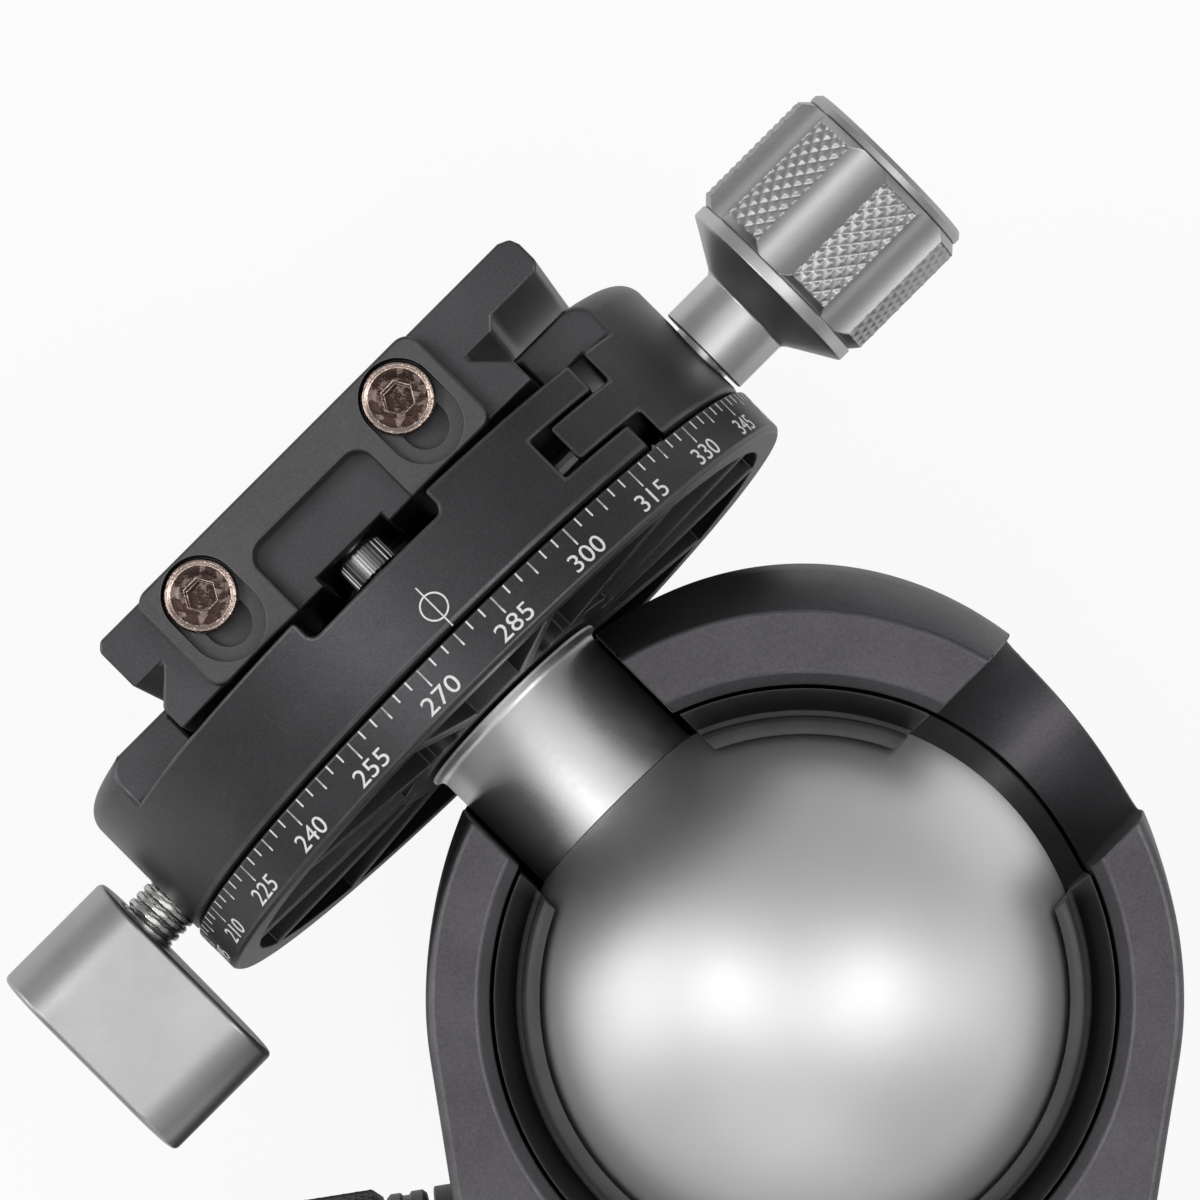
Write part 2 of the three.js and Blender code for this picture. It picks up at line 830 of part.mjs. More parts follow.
// The main lock knob, about its own axis, from the wedge's lug outwards
function mainKnobPieces() {
  const nose = wedgeLugThickness / 2 + gap + mainScrewNose * Math.tan(rearTaper);
  const screw = solidOf(
    turned(
      [
        [0, nose],
        [mainScrewNose, nose],
        [mainScrewRadius, nose + mainScrewRadius - mainScrewNose],
        [mainScrewRadius, mainScrewEnd],
        [0, mainScrewEnd],
      ],
      smallSteps,
    ),
  );
  const capSeat = mainGripEnd - mainCapDepth;
  const grip = cut(
    gripBlank(mainGripRadius, mainCollarEnd + gap, mainGripEnd, mainGripEdge),
    disc(mainScrewRadius + gap, mainCollarEnd, capSeat, smallSteps),
    disc(mainCapRadius + gap, capSeat - gap, mainGripEnd + overrun),
    ...flutes(mainFlutes, mainFluteRadius, mainFluteDepth, mainGripRadius, mainCollarEnd, mainGripEnd),
  );
  return [
    mesh("main_lock_screw", screw, brushedSteel),
    mesh(
      "main_knob_collar",
      tube(mainScrewRadius + gap, mainCollarRadius, mainCollarStart, mainCollarEnd),
      satinSilver,
    ),
    mesh("main_knob_grip", grip, blackAnodised),
    mesh("main_knob_cap", disc(mainCapRadius, capSeat, mainCapEnd), satinSilver),
  ];
}

// The friction control: a knob whose screw loads the lug through a spring and a pad
function frictionPadPlaces() {
  const padStart = wedgeLugThickness / 2 + gap + frictionPadRadius * Math.tan(rearTaper);
  const padEnd = padStart + frictionPadLength;
  const springEnd = padEnd + gap + frictionSpringLength;
  return { padStart, padEnd, springEnd };
}

function frictionInnerPieces() {
  const { padStart, padEnd, springEnd } = frictionPadPlaces();
  return [
    mesh("friction_pad", disc(frictionPadRadius, padStart, padEnd, smallSteps), polymer),
    mesh(
      "friction_spring",
      tube(frictionSpringInner, frictionPadRadius, padEnd + gap, springEnd, smallSteps),
      brushedSteel,
    ),
  ];
}

function frictionKnobPieces() {
  const { springEnd } = frictionPadPlaces();
  const knob = cut(
    gripBlank(frictionKnobRadius, frictionKnobStart, frictionKnobEnd, frictionKnobEdge),
    disc(frictionScrewRadius + gap, frictionKnobStart - overrun, frictionScrewEnd + gap, smallSteps),
  );
  const screw = disc(frictionScrewRadius, springEnd + gap, frictionScrewEnd, smallSteps);
  return [
    mesh("friction_screw", screw, brushedSteel),
    mesh("friction_knob", knob, blackAnodised),
  ];
}

function baseLockShoe() {
  const start = spigotRadius + gap;
  const shoe = disc(baseLockScrewRadius, start, start + brakeShoeLength, smallSteps);
  return mesh("base_brake_shoe", shoe, brass);
}

function baseLockKnobPieces() {
  const screwStart = spigotRadius + gap + brakeShoeLength + gap;
  const knob = cut(
    gripBlank(baseLockKnobRadius, baseLockKnobStart, baseLockKnobEnd, baseLockKnobEdge),
    disc(baseLockScrewRadius + gap, baseLockKnobStart - overrun, baseLockScrewEnd + gap, smallSteps),
  );
  const screw = disc(baseLockScrewRadius, screwStart, baseLockScrewEnd, smallSteps);
  return [
    mesh("base_lock_screw", screw, brushedSteel),
    mesh("base_lock_knob", knob, blackAnodised),
  ];
}

// Everything on the stem is made about the stem's own axis, with heights from the ball's centre
function ballSolid() {
  const round = new THREE.SphereGeometry(ballRadius, middleSteps, middleSteps / 2);
  const sphere = solidOf(round.rotateX(quarterTurn));
  const seat = Math.sqrt(ballRadius ** 2 - (stemRadius + gap) ** 2) - stemSeatDepth;
  return cut(
    sphere,
    disc(stemRadius + gap, seat, ballRadius + overrun),
    disc(stemSpigotRadius + gap, seat - stemSpigotDepth - gap, ballRadius, smallSteps),
  );
}

function stemSolid() {
  const seat = Math.sqrt(ballRadius ** 2 - (stemRadius + gap) ** 2) - stemSeatDepth + gap;
  const profile = [
    [0, seat - stemSpigotDepth],
    [stemSpigotRadius, seat - stemSpigotDepth],
    [stemSpigotRadius, seat],
    [stemRadius, seat],
    [stemRadius, stemEnd - stemCollarHeight],
    [stemCollarRadius, stemEnd - stemCollarHeight],
    [stemCollarRadius, stemEnd],
    [0, stemEnd],
  ];
  const boltHole = disc(clampBoltRadius + gap, clampBoltFoot - gap, stemEnd + overrun, smallSteps);
  return cut(solidOf(turned(profile)), boltHole);
}

function panRingSolid() {
  const blank = solidOf(
    turned(
      [
        [0, ringBottom],
        [ringRadius - ringEdge, ringBottom],
        [ringRadius, ringBottom + ringEdge],
        [ringRadius, ringTop - ringEdge],
        [ringRadius - ringEdge, ringTop],
        [journalRadius, ringTop],
        [journalRadius, journalTop],
        [0, journalTop],
      ],
      wideSteps,
    ),
  );
  let pockets = tube(ringHubRadius, ringRimInner, ringBottom - overrun, ringBottom + ringPocketDepth);
  for (let i = 0; i < ringSpokes; i++) {
    const spoke = block(
      0,
      ringRadius,
      -ringSpokeWidth / 2,
      ringSpokeWidth / 2,
      ringBottom - overrun - gap,
      ringTop,
    ).rotate([0, 0, (i * fullTurn + halfTurn) / ringSpokes / degree]);
    pockets = pockets.subtract(spoke);
  }
  const notches = [];
  for (let i = 0; i < hubNotches; i++) {
    const angle = (i * fullTurn) / hubNotches;
    const notch = disc(hubNotchRadius, ringBottom - overrun, ringBottom + ringPocketDepth, smallSteps);
    notches.push(notch.translate([ringHubRadius * Math.cos(angle), ringHubRadius * Math.sin(angle), 0]));
  }
  const boltHole = disc(clampBoltRadius + gap, ringBottom - overrun, journalTop + overrun, smallSteps);
  return cut(blank, pockets, boltHole, ...notches);
}

function clampBoltSolid() {
  const headBottom = keeperTop - keeperRecess + gap;
  const head = disc(clampBoltHeadRadius, headBottom, headBottom + clampBoltHeadHeight);
  const shank = disc(clampBoltRadius, clampBoltFoot, headBottom + gap, smallSteps);
  const top = headBottom + clampBoltHeadHeight;
  return cut(join(head, shank), disc(clampBoltSocket, top - clampBoltSocketDepth, top + overrun, hexagon));
}

function keeperSolid() {
  return cut(
    tube(clampBoltRadius + gap, keeperRadius, journalTop + gap, keeperTop),
    disc(clampBoltHeadRadius + gap, keeperTop - keeperRecess, keeperTop + overrun),
  );
}

function ballPieces() {
  return [
    mesh("ball", ballSolid(), satinSilver),
    mesh("stem", stemSolid(), brushedSteel),
    mesh("pan_ring", panRingSolid(), blackAnodised),
    mesh("clamp_keeper", keeperSolid(), brushedSteel),
    mesh("clamp_bolt", clampBoltSolid(), brushedSteel),
  ];
}

// The clamp's round blank with the two flats on its upper part
function clampBlank() {
  const corner = [];
  for (let i = 0; i <= arcSteps; i++) {
    const angle = (i * quarterTurn) / arcSteps;
    corner.push([
      clampRadius - clampRound + clampRound * Math.cos(angle),
      clampTop - clampRound + clampRound * Math.sin(angle),
    ]);
  }
  const blank = solidOf(
    turned([[0, clampBottom], [clampRadius, clampBottom], ...corner, [0, clampTop]], wideSteps),
  );
  const flats = [-1, 1].map((side) =>
    block(
      -ringRadius,
      ringRadius,
      side > 0 ? jawFlat : -ringRadius,
      side > 0 ? ringRadius : -jawFlat,
      clampLedge,
      clampTop + overrun,
    ),
  );
  return cut(blank, ...flats);
}

// An outline in the plane across the dovetail, pushed from one distance to another towards the front
function acrossClamp(points, near, far) {
  return towardsFront(pushed(outline(points), near, far));
}

const seatHalfWidth = lipHalfWidth + gap;
const seatSlope = lipHalfWidth + plateCorner + gap * Math.SQRT2;
const seatCorner = seatSlope - seatHalfWidth;
const aboveClamp = clampTop + overrun;

function clampBores() {
  const screwBore = disc(clampScrewRadius + gap, clampScrewTip - gap, ringRadius + overrun, smallSteps);
  const springBore = disc(clampSpringOuter + gap, clampSpringStart - gap, clampSpringEnd + gap, smallSteps);
  const tools = [];
  for (const bore of [screwBore, springBore]) {
    tools.push(towardsRight(bore).translate([0, 0, clampScrewHeight]));
  }
  for (const side of [-1, 1]) {
    const pinBore = disc(guidePinRadius + gap, guidePinStart - gap, guidePinEnd + gap, smallSteps);
    tools.push(towardsRight(pinBore).translate([0, side * guidePinPlace, clampScrewHeight]));
  }
  return tools;
}

function clampBodySolid() {
  const region = acrossClamp(
    [
      [-ringRadius - overrun, clampBottom - overrun],
      [fixedFingerEnd, clampBottom - overrun],
      [fixedFingerEnd, jawFingerBottom - gap],
      [pocketWall, jawFingerBottom - gap],
      [pocketWall, jawFingerTop + gap],
      [fixedFingerEnd, jawFingerTop + gap],
      [fixedFingerEnd, clampLedge],
      [seatHalfWidth - gap, clampLedge],
      [seatHalfWidth - gap, seatFloor],
      [-seatHalfWidth, seatFloor],
      [-seatHalfWidth, seatCorner],
      [aboveClamp - seatSlope, aboveClamp],
      [-ringRadius - overrun, aboveClamp],
    ],
    -ringRadius - overrun,
    ringRadius + overrun,
  );
  const channel = block(
    -channelHalfWidth,
    channelHalfWidth,
    -ringRadius - overrun,
    ringRadius + overrun,
    channelFloor,
    aboveClamp,
  );
  const endNotches = [-1, 1].map((side) =>
    block(
      -channelHalfWidth,
      channelHalfWidth,
      side > 0 ? endNotchStart : -ringRadius - overrun,
      side > 0 ? ringRadius + overrun : -endNotchStart,
      endNotchFloor,
      aboveClamp,
    ),
  );
  const journalBore = disc(journalRadius + gap, clampBottom - overrun, journalTop + overrun);
  const keeperBore = disc(keeperRadius + gap, journalTop, aboveClamp);
  const washerGroove = tube(
    washerInner - gap,
    washerOuter + gap,
    clampBottom - overrun,
    clampBottom + washerThickness + gap,
  );
  const shoeEnd = journalRadius + gap + lockShoeLength;
  const shoeBore = disc(lockShoeRadius + gap, journalRadius - overrun, shoeEnd + overrun, smallSteps);
  const lockBore = disc(lockScrewRadius + gap, shoeEnd, ringRadius + overrun, smallSteps);
  const lockBores = [shoeBore, lockBore].map((tool) => towardsLeft(tool).translate([0, 0, lockHeight]));
  return cut(
    clampBlank().intersect(region),
    channel,
    ...endNotches,
    journalBore,
    keeperBore,
    washerGroove,
    ...clampBores(),
    ...lockBores,
  );
}

function jawSolid() {
  const region = acrossClamp(
    [
      [seatHalfWidth, clampLedge + gap],
      [jawWall, clampLedge + gap],
      [jawWall, jawFingerTop],
      [jawFingerEnd, jawFingerTop],
      [jawFingerEnd, jawFingerBottom],
      [jawWall, jawFingerBottom],
      [jawWall, clampBottom - overrun],
      [ringRadius + overrun, clampBottom - overrun],
      [ringRadius + overrun, aboveClamp],
      [seatSlope - aboveClamp, aboveClamp],
      [seatHalfWidth, seatCorner],
    ],
    -ringRadius - overrun,
    ringRadius + overrun,
  );
  return cut(clampBlank().intersect(region), ...clampBores());
}

function clampPieces() {
  const washer = tube(washerInner, washerOuter, clampBottom, clampBottom + washerThickness);
  const pieces = [
    mesh("clamp_body", clampBodySolid(), blackAnodised),
    mesh("pan_friction_washer", washer, polymer),
  ];
  const shoe = mesh(
    "clamp_brake_shoe",
    disc(lockShoeRadius, journalRadius + gap, journalRadius + gap + lockShoeLength - gap, smallSteps),
    brass,
  );
  shoe.position.z = lockHeight;
  shoe.rotation.y = -quarterTurn;
  const spring = mesh(
    "jaw_spring",
    tube(clampSpringInner, clampSpringOuter, clampSpringStart, clampSpringEnd, smallSteps),
    brushedSteel,
  );
  spring.position.z = clampScrewHeight;
  spring.rotation.y = quarterTurn;
  pieces.push(shoe, spring);
  for (const [side, word] of [
    [-1, "front"],
    [1, "rear"],
  ]) {
    const round = disc(guidePinRadius, guidePinStart, guidePinEnd, smallSteps);
    const pin = mesh(`guide_pin_${word}`, round, brushedSteel);
    pin.position.set(0, side * guidePinPlace, clampScrewHeight);
    pin.rotation.y = quarterTurn;
    pieces.push(pin);
  }
  return pieces;
}

// The clamp's large knob, about its own axis
function clampKnobPieces() {
  const bell = solidOf(
    turned([
      [clampScrewRadius + gap, clampShaftStart],
      [clampShaftRadius, clampShaftStart],
      [clampShaftRadius, clampBellStart],
      [clampBellRadius, clampBellEnd],
      [clampBellRadius, clampBellEnd + clampBellRim],
      [clampScrewRadius + gap, clampBellEnd + clampBellRim],
    ]),
  );
  const grip = cut(
    gripBlank(clampGripRadius, clampGripStart, clampGripEnd, clampGripEdge),
    disc(clampScrewRadius + gap, clampGripStart - overrun, clampGripEnd, smallSteps),
    disc(
      clampCapStemRadius + gap,
      clampGripEnd - clampCapStemDepth - gap,
      clampGripEnd + overrun,
      smallSteps,
    ),
    ...flutes(
      clampFlutes,
      clampFluteRadius,
      clampFluteDepth,
      clampGripRadius,
      clampGripStart,
      clampGripEnd,
    ),
  );
  const cap = join(
    disc(clampCapRadius, clampGripEnd + gap, clampCapEnd + gap),
    disc(clampCapStemRadius, clampGripEnd - clampCapStemDepth, clampCapEnd, smallSteps),
  );
  return [
    mesh("clamp_screw", disc(clampScrewRadius, clampScrewTip, clampScrewEnd, smallSteps), brushedSteel),
    mesh("clamp_knob_collar", bell, satinSilver),
    mesh("clamp_knob_grip", grip, satinSilver),
    mesh("clamp_knob_cap", cap, blackDark),
  ];
}

// The clamp's pan lock: a screw and an offset paddle, about the screw's axis
function lockPieces() {
  const screwStart = journalRadius + gap + lockShoeLength + gap;
  const lean = Math.asin((paddleHeadRadius - paddleTailRadius) / paddleReach);
  const shape = new THREE.Shape();
  shape.absarc(0, 0, paddleHeadRadius, -quarterTurn - lean, quarterTurn + lean);
  shape.absarc(-paddleReach, 0, paddleTailRadius, quarterTurn + lean, -quarterTurn - lean + fullTurn);
  const paddle = cut(
    pushed(shape, paddleStart, paddleEnd, smallSteps),
    disc(lockScrewRadius + gap, paddleStart - overrun, paddleStart + paddleScrewDepth + gap, smallSteps),
  );
  return [
    mesh(
      "clamp_lock_screw",
      disc(lockScrewRadius, screwStart, paddleStart + paddleScrewDepth, smallSteps),
      brushedSteel,
    ),
    mesh("clamp_lock_paddle", paddle, satinSilver),
  ];
}

function plateSolid() {
  const profile = [
    [-lipHalfWidth, plateBottom],
    [-endNotchHalf, plateBottom],
    [-endNotchHalf, plateBottom + endNotchRise],
    [endNotchHalf, plateBottom + endNotchRise],
    [endNotchHalf, plateBottom],
    [lipHalfWidth, plateBottom],
    [lipHalfWidth, plateCorner],
    [apexHalfWidth, plateCorner + lipHalfWidth - apexHalfWidth],
    [apexHalfWidth, flangeBottom],
    [flangeStep, flangeBottom],
    [flangeStep + flangeRise, flangeBottom + flangeRise],
    [flangeRight - flangeSmallCorner, flangeBottom + flangeRise],
    [flangeRight, flangeBottom + flangeRise + flangeSmallCorner],
    [flangeRight, plateTop - flangeCorner],
    [flangeRight - flangeCorner, plateTop],
    [flangeSmallCorner - flangeLeft, plateTop],
    [-flangeLeft, plateTop - flangeSmallCorner],
    [-flangeLeft, flangeBottom],
    [-apexHalfWidth, flangeBottom],
    [-apexHalfWidth, plateCorner + lipHalfWidth - apexHalfWidth],
    [-lipHalfWidth, plateCorner],
  ];
  const tools = [
    disc(studRadius + gap, plateBottom - overrun, plateTop + overrun),
    disc(plateRecessRadius, plateBottom - overrun, plateRecessTop),
  ];
  for (const side of [-1, 1]) {
    const headSeat = disc(safetyHeadRadius + gap, plateBottom - overrun, safetyHeadTop + gap, smallSteps);
    const shankHole = disc(safetyShankRadius + gap, plateBottom, safetyShankTop + gap, smallSteps);
    tools.push(join(headSeat, shankHole).translate([0, side * safetyPlace, 0]));
    tools.push(
      block(
        side * padPlace - padHalfWidth - gap,
        side * padPlace + padHalfWidth + gap,
        -plateHalfLength + padEndMargin - gap,
        plateHalfLength - padEndMargin + gap,
        plateTop - padDepth - gap,
        plateTop + overrun,
      ),
    );
    const barHole = disc(
      barScrewShankRadius + gap,
      plateHalfLength + gap + barThickness - barScrewLength - gap,
      plateHalfLength + overrun,
      smallSteps,
    );
    tools.push(towardsFront(barHole).translate([side * barScrewPlace, 0, barScrewHeight]));
  }
  return cut(acrossClamp(profile, -plateHalfLength, plateHalfLength), ...tools);
}

function stopBarSolid() {
  const near = plateHalfLength + gap;
  const far = near + barThickness;
  const bar = towardsFront(
    pushed(roundedRectangle(-barHalfWidth, barHalfWidth, barBottom, plateTop, barCorner), near, far),
  );
  const window = towardsFront(
    pushed(
      roundedRectangle(
        -windowHalfWidth,
        windowHalfWidth,
        barBottom - windowCorner - overrun,
        windowTop,
        windowCorner,
      ),
      near - overrun,
      far + overrun,
    ),
  );
  const tools = [window];
  const slotLow = barScrewHeight - barTravel;
  for (const side of [-1, 1]) {
    const shankSlot = slotOutline(barScrewShankRadius + gap, side * barScrewPlace, slotLow, barScrewHeight);
    const headSlot = slotOutline(
      barScrewHeadRadius + slotClearance,
      side * barScrewPlace,
      slotLow,
      barScrewHeight,
    );
    tools.push(towardsFront(pushed(shankSlot, near - overrun, far + overrun)));
    tools.push(towardsFront(pushed(headSlot, far - barScrewHeadHeight - gap, far + overrun)));
  }
  return cut(bar, ...tools);
}

function barScrewSolid() {
  const far = plateHalfLength + gap + barThickness;
  const screw = join(
    disc(barScrewHeadRadius, far - barScrewHeadHeight, far),
    disc(barScrewShankRadius, far - barScrewLength, far - barScrewHeadHeight + gap, smallSteps),
  );
  return cut(screw, disc(barScrewSocketRadius, far - barScrewSocketDepth, far + overrun, hexagon));
}

function safetyScrewSolid() {
  const screw = join(
    disc(safetyHeadRadius, safetyHeadBottom, safetyHeadTop, smallSteps),
    disc(safetyShankRadius, safetyHeadTop - gap, safetyShankTop, smallSteps),
  );
  const socket = disc(
    safetySocketRadius,
    safetyHeadBottom - overrun,
    safetyHeadBottom + safetySocketDepth,
    hexagon,
  );
  return cut(screw, socket);
}

function platePieces() {
  const pieces = [mesh("quick_release_plate", plateSolid(), blackAnodised)];
  const pad = () =>
    block(
      -padHalfWidth,
      padHalfWidth,
      -plateHalfLength + padEndMargin,
      plateHalfLength - padEndMargin,
      plateTop - padDepth,
      plateTop,
    );
  for (const [side, word] of [
    [-1, "left"],
    [1, "right"],
  ]) {
    const rubberPad = mesh(`plate_pad_${word}`, pad(), rubber);
    rubberPad.position.x = side * padPlace;
    const screw = mesh(`stop_bar_screw_${word}`, barScrewSolid(), copperScrew);
    screw.position.set(side * barScrewPlace, 0, barScrewHeight);
    screw.rotation.x = quarterTurn;
    pieces.push(rubberPad, screw);
  }
  for (const [side, word] of [
    [-1, "front"],
    [1, "rear"],
  ]) {
    const safety = mesh(`safety_screw_${word}`, safetyScrewSolid(), satinSilver);
    safety.position.y = side * safetyPlace;
    pieces.push(safety);
  }
  return pieces;
}

function cameraScrewPieces() {
  const headTop = studHeadBottom + studHeadThickness;
  const neckTop = headTop + studNeckLength;
  const stud = cut(
    join(
      disc(studHeadRadius, studHeadBottom, headTop),
      disc(studNeckRadius, headTop - gap, neckTop + gap, smallSteps),
      disc(studRadius, neckTop, studTop, smallSteps),
    ),
    block(
      -coinSlotHalfWidth,
      coinSlotHalfWidth,
      -studHeadRadius - overrun,
      studHeadRadius + overrun,
      studHeadBottom - overrun,
      studHeadBottom + coinSlotDepth,
    ),
  );
  const clip = tube(studNeckRadius + gap, clipRadius, headTop + gap, headTop + gap + clipThickness);
  return [mesh("camera_screw_clip", clip, brushedSteel), mesh("camera_screw", stud, brushedSteel)];
}

function groupOf(pieces) {
  const group = new THREE.Group();
  group.add(...pieces);
  return group;
}

// A group whose Z lies along a rear knob's axis
function rearKnobGroup(pieces, azimuth) {
  const group = groupOf(pieces);
  group.position.set(0, -bossAxisRear, bossHeight);
  group.rotation.set(0, quarterTurn, azimuth, "ZYX");
  return group;
}

function baseLockGroup(pieces) {
  const group = groupOf(pieces);
  group.position.z = baseLockHeight;
  group.rotation.x = quarterTurn;
  return group;
}

function sideKnobGroup(pieces, height, turn) {
  const group = groupOf(pieces);
  group.position.z = height;
  group.rotation.y = turn;
  return group;
}

// The stem's frame: its Z runs from the ball outwards and its X towards the clamp's large knob
function stemGroup() {
  const leaning = groupOf([
    ...ballPieces(),
    ...clampPieces(),
    mesh("movable_jaw", jawSolid(), blackAnodised),
    ...platePieces(),
    mesh("stop_bar", stopBarSolid(), blackAnodised),
    ...cameraScrewPieces(),
    sideKnobGroup(clampKnobPieces(), clampScrewHeight, quarterTurn),
    sideKnobGroup(lockPieces(), lockHeight, -quarterTurn),
  ]);
  leaning.rotation.x = -quarterTurn - stemDrop;
  const group = groupOf([leaning]);
  group.position.z = ballHeight;
  group.rotation.z = notchAzimuth - quarterTurn;
  return group;
}

const head = new THREE.Group();
head.add(
  groupOf(basePieces()),
  groupOf(housingPieces()),
  rearKnobGroup(mainKnobPieces(), mainAzimuth),
  rearKnobGroup(frictionInnerPieces(), frictionAzimuth),
  rearKnobGroup(frictionKnobPieces(), frictionAzimuth),
  baseLockGroup([baseLockShoe()]),
  baseLockGroup(baseLockKnobPieces()),
  stemGroup(),
);

export default head;
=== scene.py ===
import math

import bmesh
import bpy
from mathutils import Matrix, Vector


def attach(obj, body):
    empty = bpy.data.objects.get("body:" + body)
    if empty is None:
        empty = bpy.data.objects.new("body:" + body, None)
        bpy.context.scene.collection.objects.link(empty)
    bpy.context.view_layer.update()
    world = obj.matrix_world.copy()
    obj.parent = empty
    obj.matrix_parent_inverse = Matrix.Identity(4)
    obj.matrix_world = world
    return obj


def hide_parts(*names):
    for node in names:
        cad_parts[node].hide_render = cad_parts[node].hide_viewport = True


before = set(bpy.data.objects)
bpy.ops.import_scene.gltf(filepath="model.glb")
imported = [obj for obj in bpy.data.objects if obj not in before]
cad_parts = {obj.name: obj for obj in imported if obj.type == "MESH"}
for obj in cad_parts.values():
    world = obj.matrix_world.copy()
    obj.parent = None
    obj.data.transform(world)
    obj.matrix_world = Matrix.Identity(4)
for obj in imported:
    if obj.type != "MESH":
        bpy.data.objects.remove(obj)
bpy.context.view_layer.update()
print("frame loaded")

mm = 0.001
gap = 0.3  # between pieces that move on each other
past = 1.0  # how far a cutting tool stands out of what it cuts
turn = 2 * math.pi
wide, middle, small = 160, 96, 48  # steps round a large, a middling and a small circle

# Where the turned groups lie, in millimetres and degrees
layout = {
    "ballHeight": 52, "stemTurn": 45,
    "stemDrop": 5,  # the folded stem hangs this far below level
    "clampScrewHeight": 41.15, "lockScrewHeight": 40.1,
    "rearScrews": (0, -22, 34),  # where the axes of the main and the friction knob meet
    "mainKnobTurn": 189, "frictionTurn": -9, "baseLockHeight": 15.4,
}


def turned(angle, axis):
    return Matrix.Rotation(math.radians(angle), 4, axis)


def moved(x, y, z):
    return Matrix.Translation((x, y, z))


rowFrame = Matrix.Identity(4)
ballPlace = moved(0, 0, layout["ballHeight"])
stemFrame = ballPlace @ turned(layout["stemTurn"], "Z") @ turned(-90 - layout["stemDrop"], "X")
clampKnobAxis = moved(0, 0, layout["clampScrewHeight"]) @ turned(90, "Y")
lockAxis = moved(0, 0, layout["lockScrewHeight"]) @ turned(-90, "Y")
clampKnobFrame = stemFrame @ clampKnobAxis
lockFrame = stemFrame @ lockAxis
mainKnobFrame = moved(*layout["rearScrews"]) @ turned(layout["mainKnobTurn"], "Z") @ turned(90, "Y")
frictionFrame = moved(*layout["rearScrews"]) @ turned(layout["frictionTurn"], "Z") @ turned(90, "Y")
baseLockFrame = moved(0, 0, layout["baseLockHeight"]) @ turned(90, "X")
front = turned(90, "X")  # an outline across the dovetail, pushed towards the front


# Mesh making: every shape is drawn in millimetres in its own frame and placed once, at the end
def newObject(name, data):
    item = bpy.data.objects.new(name, data)
    bpy.context.scene.collection.objects.link(item)
    return item


def fromFaces(name, points, faces):
    mesh = bpy.data.meshes.new(name)
    mesh.from_pydata([tuple(p) for p in points], [], faces)
    work = bmesh.new()
    work.from_mesh(mesh)
    bmesh.ops.remove_doubles(work, verts=work.verts, dist=1e-5)
    bmesh.ops.recalc_face_normals(work, faces=work.faces)
    work.to_mesh(mesh)
    work.free()
    return newObject(name, mesh)


def circle(radius, height, steps):
    return [(radius * math.cos(turn * i / steps), radius * math.sin(turn * i / steps), height) for i in range(steps)]


def band(lower, upper, steps):
    # Faces between two rings of points that start at these numbers
    faces = []
    for i in range(steps):
        n = (i + 1) % steps
        faces.append((lower + i, lower + n, upper + n, upper + i))
    return faces


def lathe(name, profile, steps=middle, radial=None):
    # A run of (radius, height) about Z. Radius 0 closes an end, and otherwise the run closes on itself.
    closedEnds = profile[0][0] == 0
    ring = [p for p in profile if p[0] > 0]
    points, faces = [], []
    for radius, height in ring:
        if radial:
            for i in range(steps):
                a = turn * i / steps
                r = radial(radius, a)
                points.append((r * math.cos(a), r * math.sin(a), height))
        else:
            points += circle(radius, height, steps)
    rows = len(ring)
    for j in range(rows - 1 if closedEnds else rows):
        faces += band(j * steps, (j + 1) % rows * steps, steps)
    if closedEnds:
        for j, height, near in ((0, profile[0][1], ring[0][1]), (rows - 1, profile[-1][1], ring[-1][1])):
            if abs(height - near) < 1e-6:
                faces.append(tuple(j * steps + i for i in range(steps)))
            else:
                points.append((0, 0, height))
                pole = len(points) - 1
                faces += [(j * steps + i, j * steps + (i + 1) % steps, pole) for i in range(steps)]
    return fromFaces(name, points, faces)


def disc(radius, low, high, steps=middle):
    return lathe("tool", [(0, low), (radius, low), (radius, high), (0, high)], steps)


def tube(inner, outer, low, high, steps=middle):
    return lathe("tool", [(inner, low), (outer, low), (outer, high), (inner, high)], steps)


def box(x0, x1, y0, y1, z0, z1):
    points = [(x, y, z) for z in (z0, z1) for y in (y0, y1) for x in (x0, x1)]
    faces = [(0, 1, 3, 2), (4, 6, 7, 5), (0, 4, 5, 1), (2, 3, 7, 6), (0, 2, 6, 4), (1, 5, 7, 3)]
    return fromFaces("tool", points, faces)


def prism(outline, low, high, name="tool"):
    n = len(outline)
    points = [(x, y, low) for x, y in outline] + [(x, y, high) for x, y in outline]
    faces = [tuple(range(n)), tuple(range(n, 2 * n))]
    return fromFaces(name, points, faces + band(0, n, n))


def arc(x, y, radius, start, end, steps=12):
    angles = [math.radians(start + (end - start) * i / steps) for i in range(steps + 1)]
    return [(x + radius * math.cos(a), y + radius * math.sin(a)) for a in angles]


def hexagon(radius):
    return arc(0, 0, radius, 0, 300, 5)


def roundedBox(left, right, low, high, corner):
    return (
        arc(right - corner, low + corner, corner, -90, 0)
        + arc(right - corner, high - corner, corner, 0, 90)
        + arc(left + corner, high - corner, corner, 90, 180)
        + arc(left + corner, low + corner, corner, 180, 270)
    )


def shifted(item, matrix):
    item.data.transform(matrix)
    return item


def across(outline, near, far, name="tool"):
    return shifted(prism(outline, near, far, name), front)


def applied(item):
    graph = bpy.context.evaluated_depsgraph_get()
    mesh = bpy.data.meshes.new_from_object(item.evaluated_get(graph))
    old = item.data
    item.modifiers.clear()
    item.data = mesh
    bpy.data.meshes.remove(old)
    return item


def combined(item, tools, operation="DIFFERENCE"):
    for tool in tools:
        step = item.modifiers.new("cut", "BOOLEAN")
        step.operation = operation
        step.solver = "EXACT"
        step.object = tool
    applied(item)
    for tool in tools:
        bpy.data.objects.remove(tool)
    return item


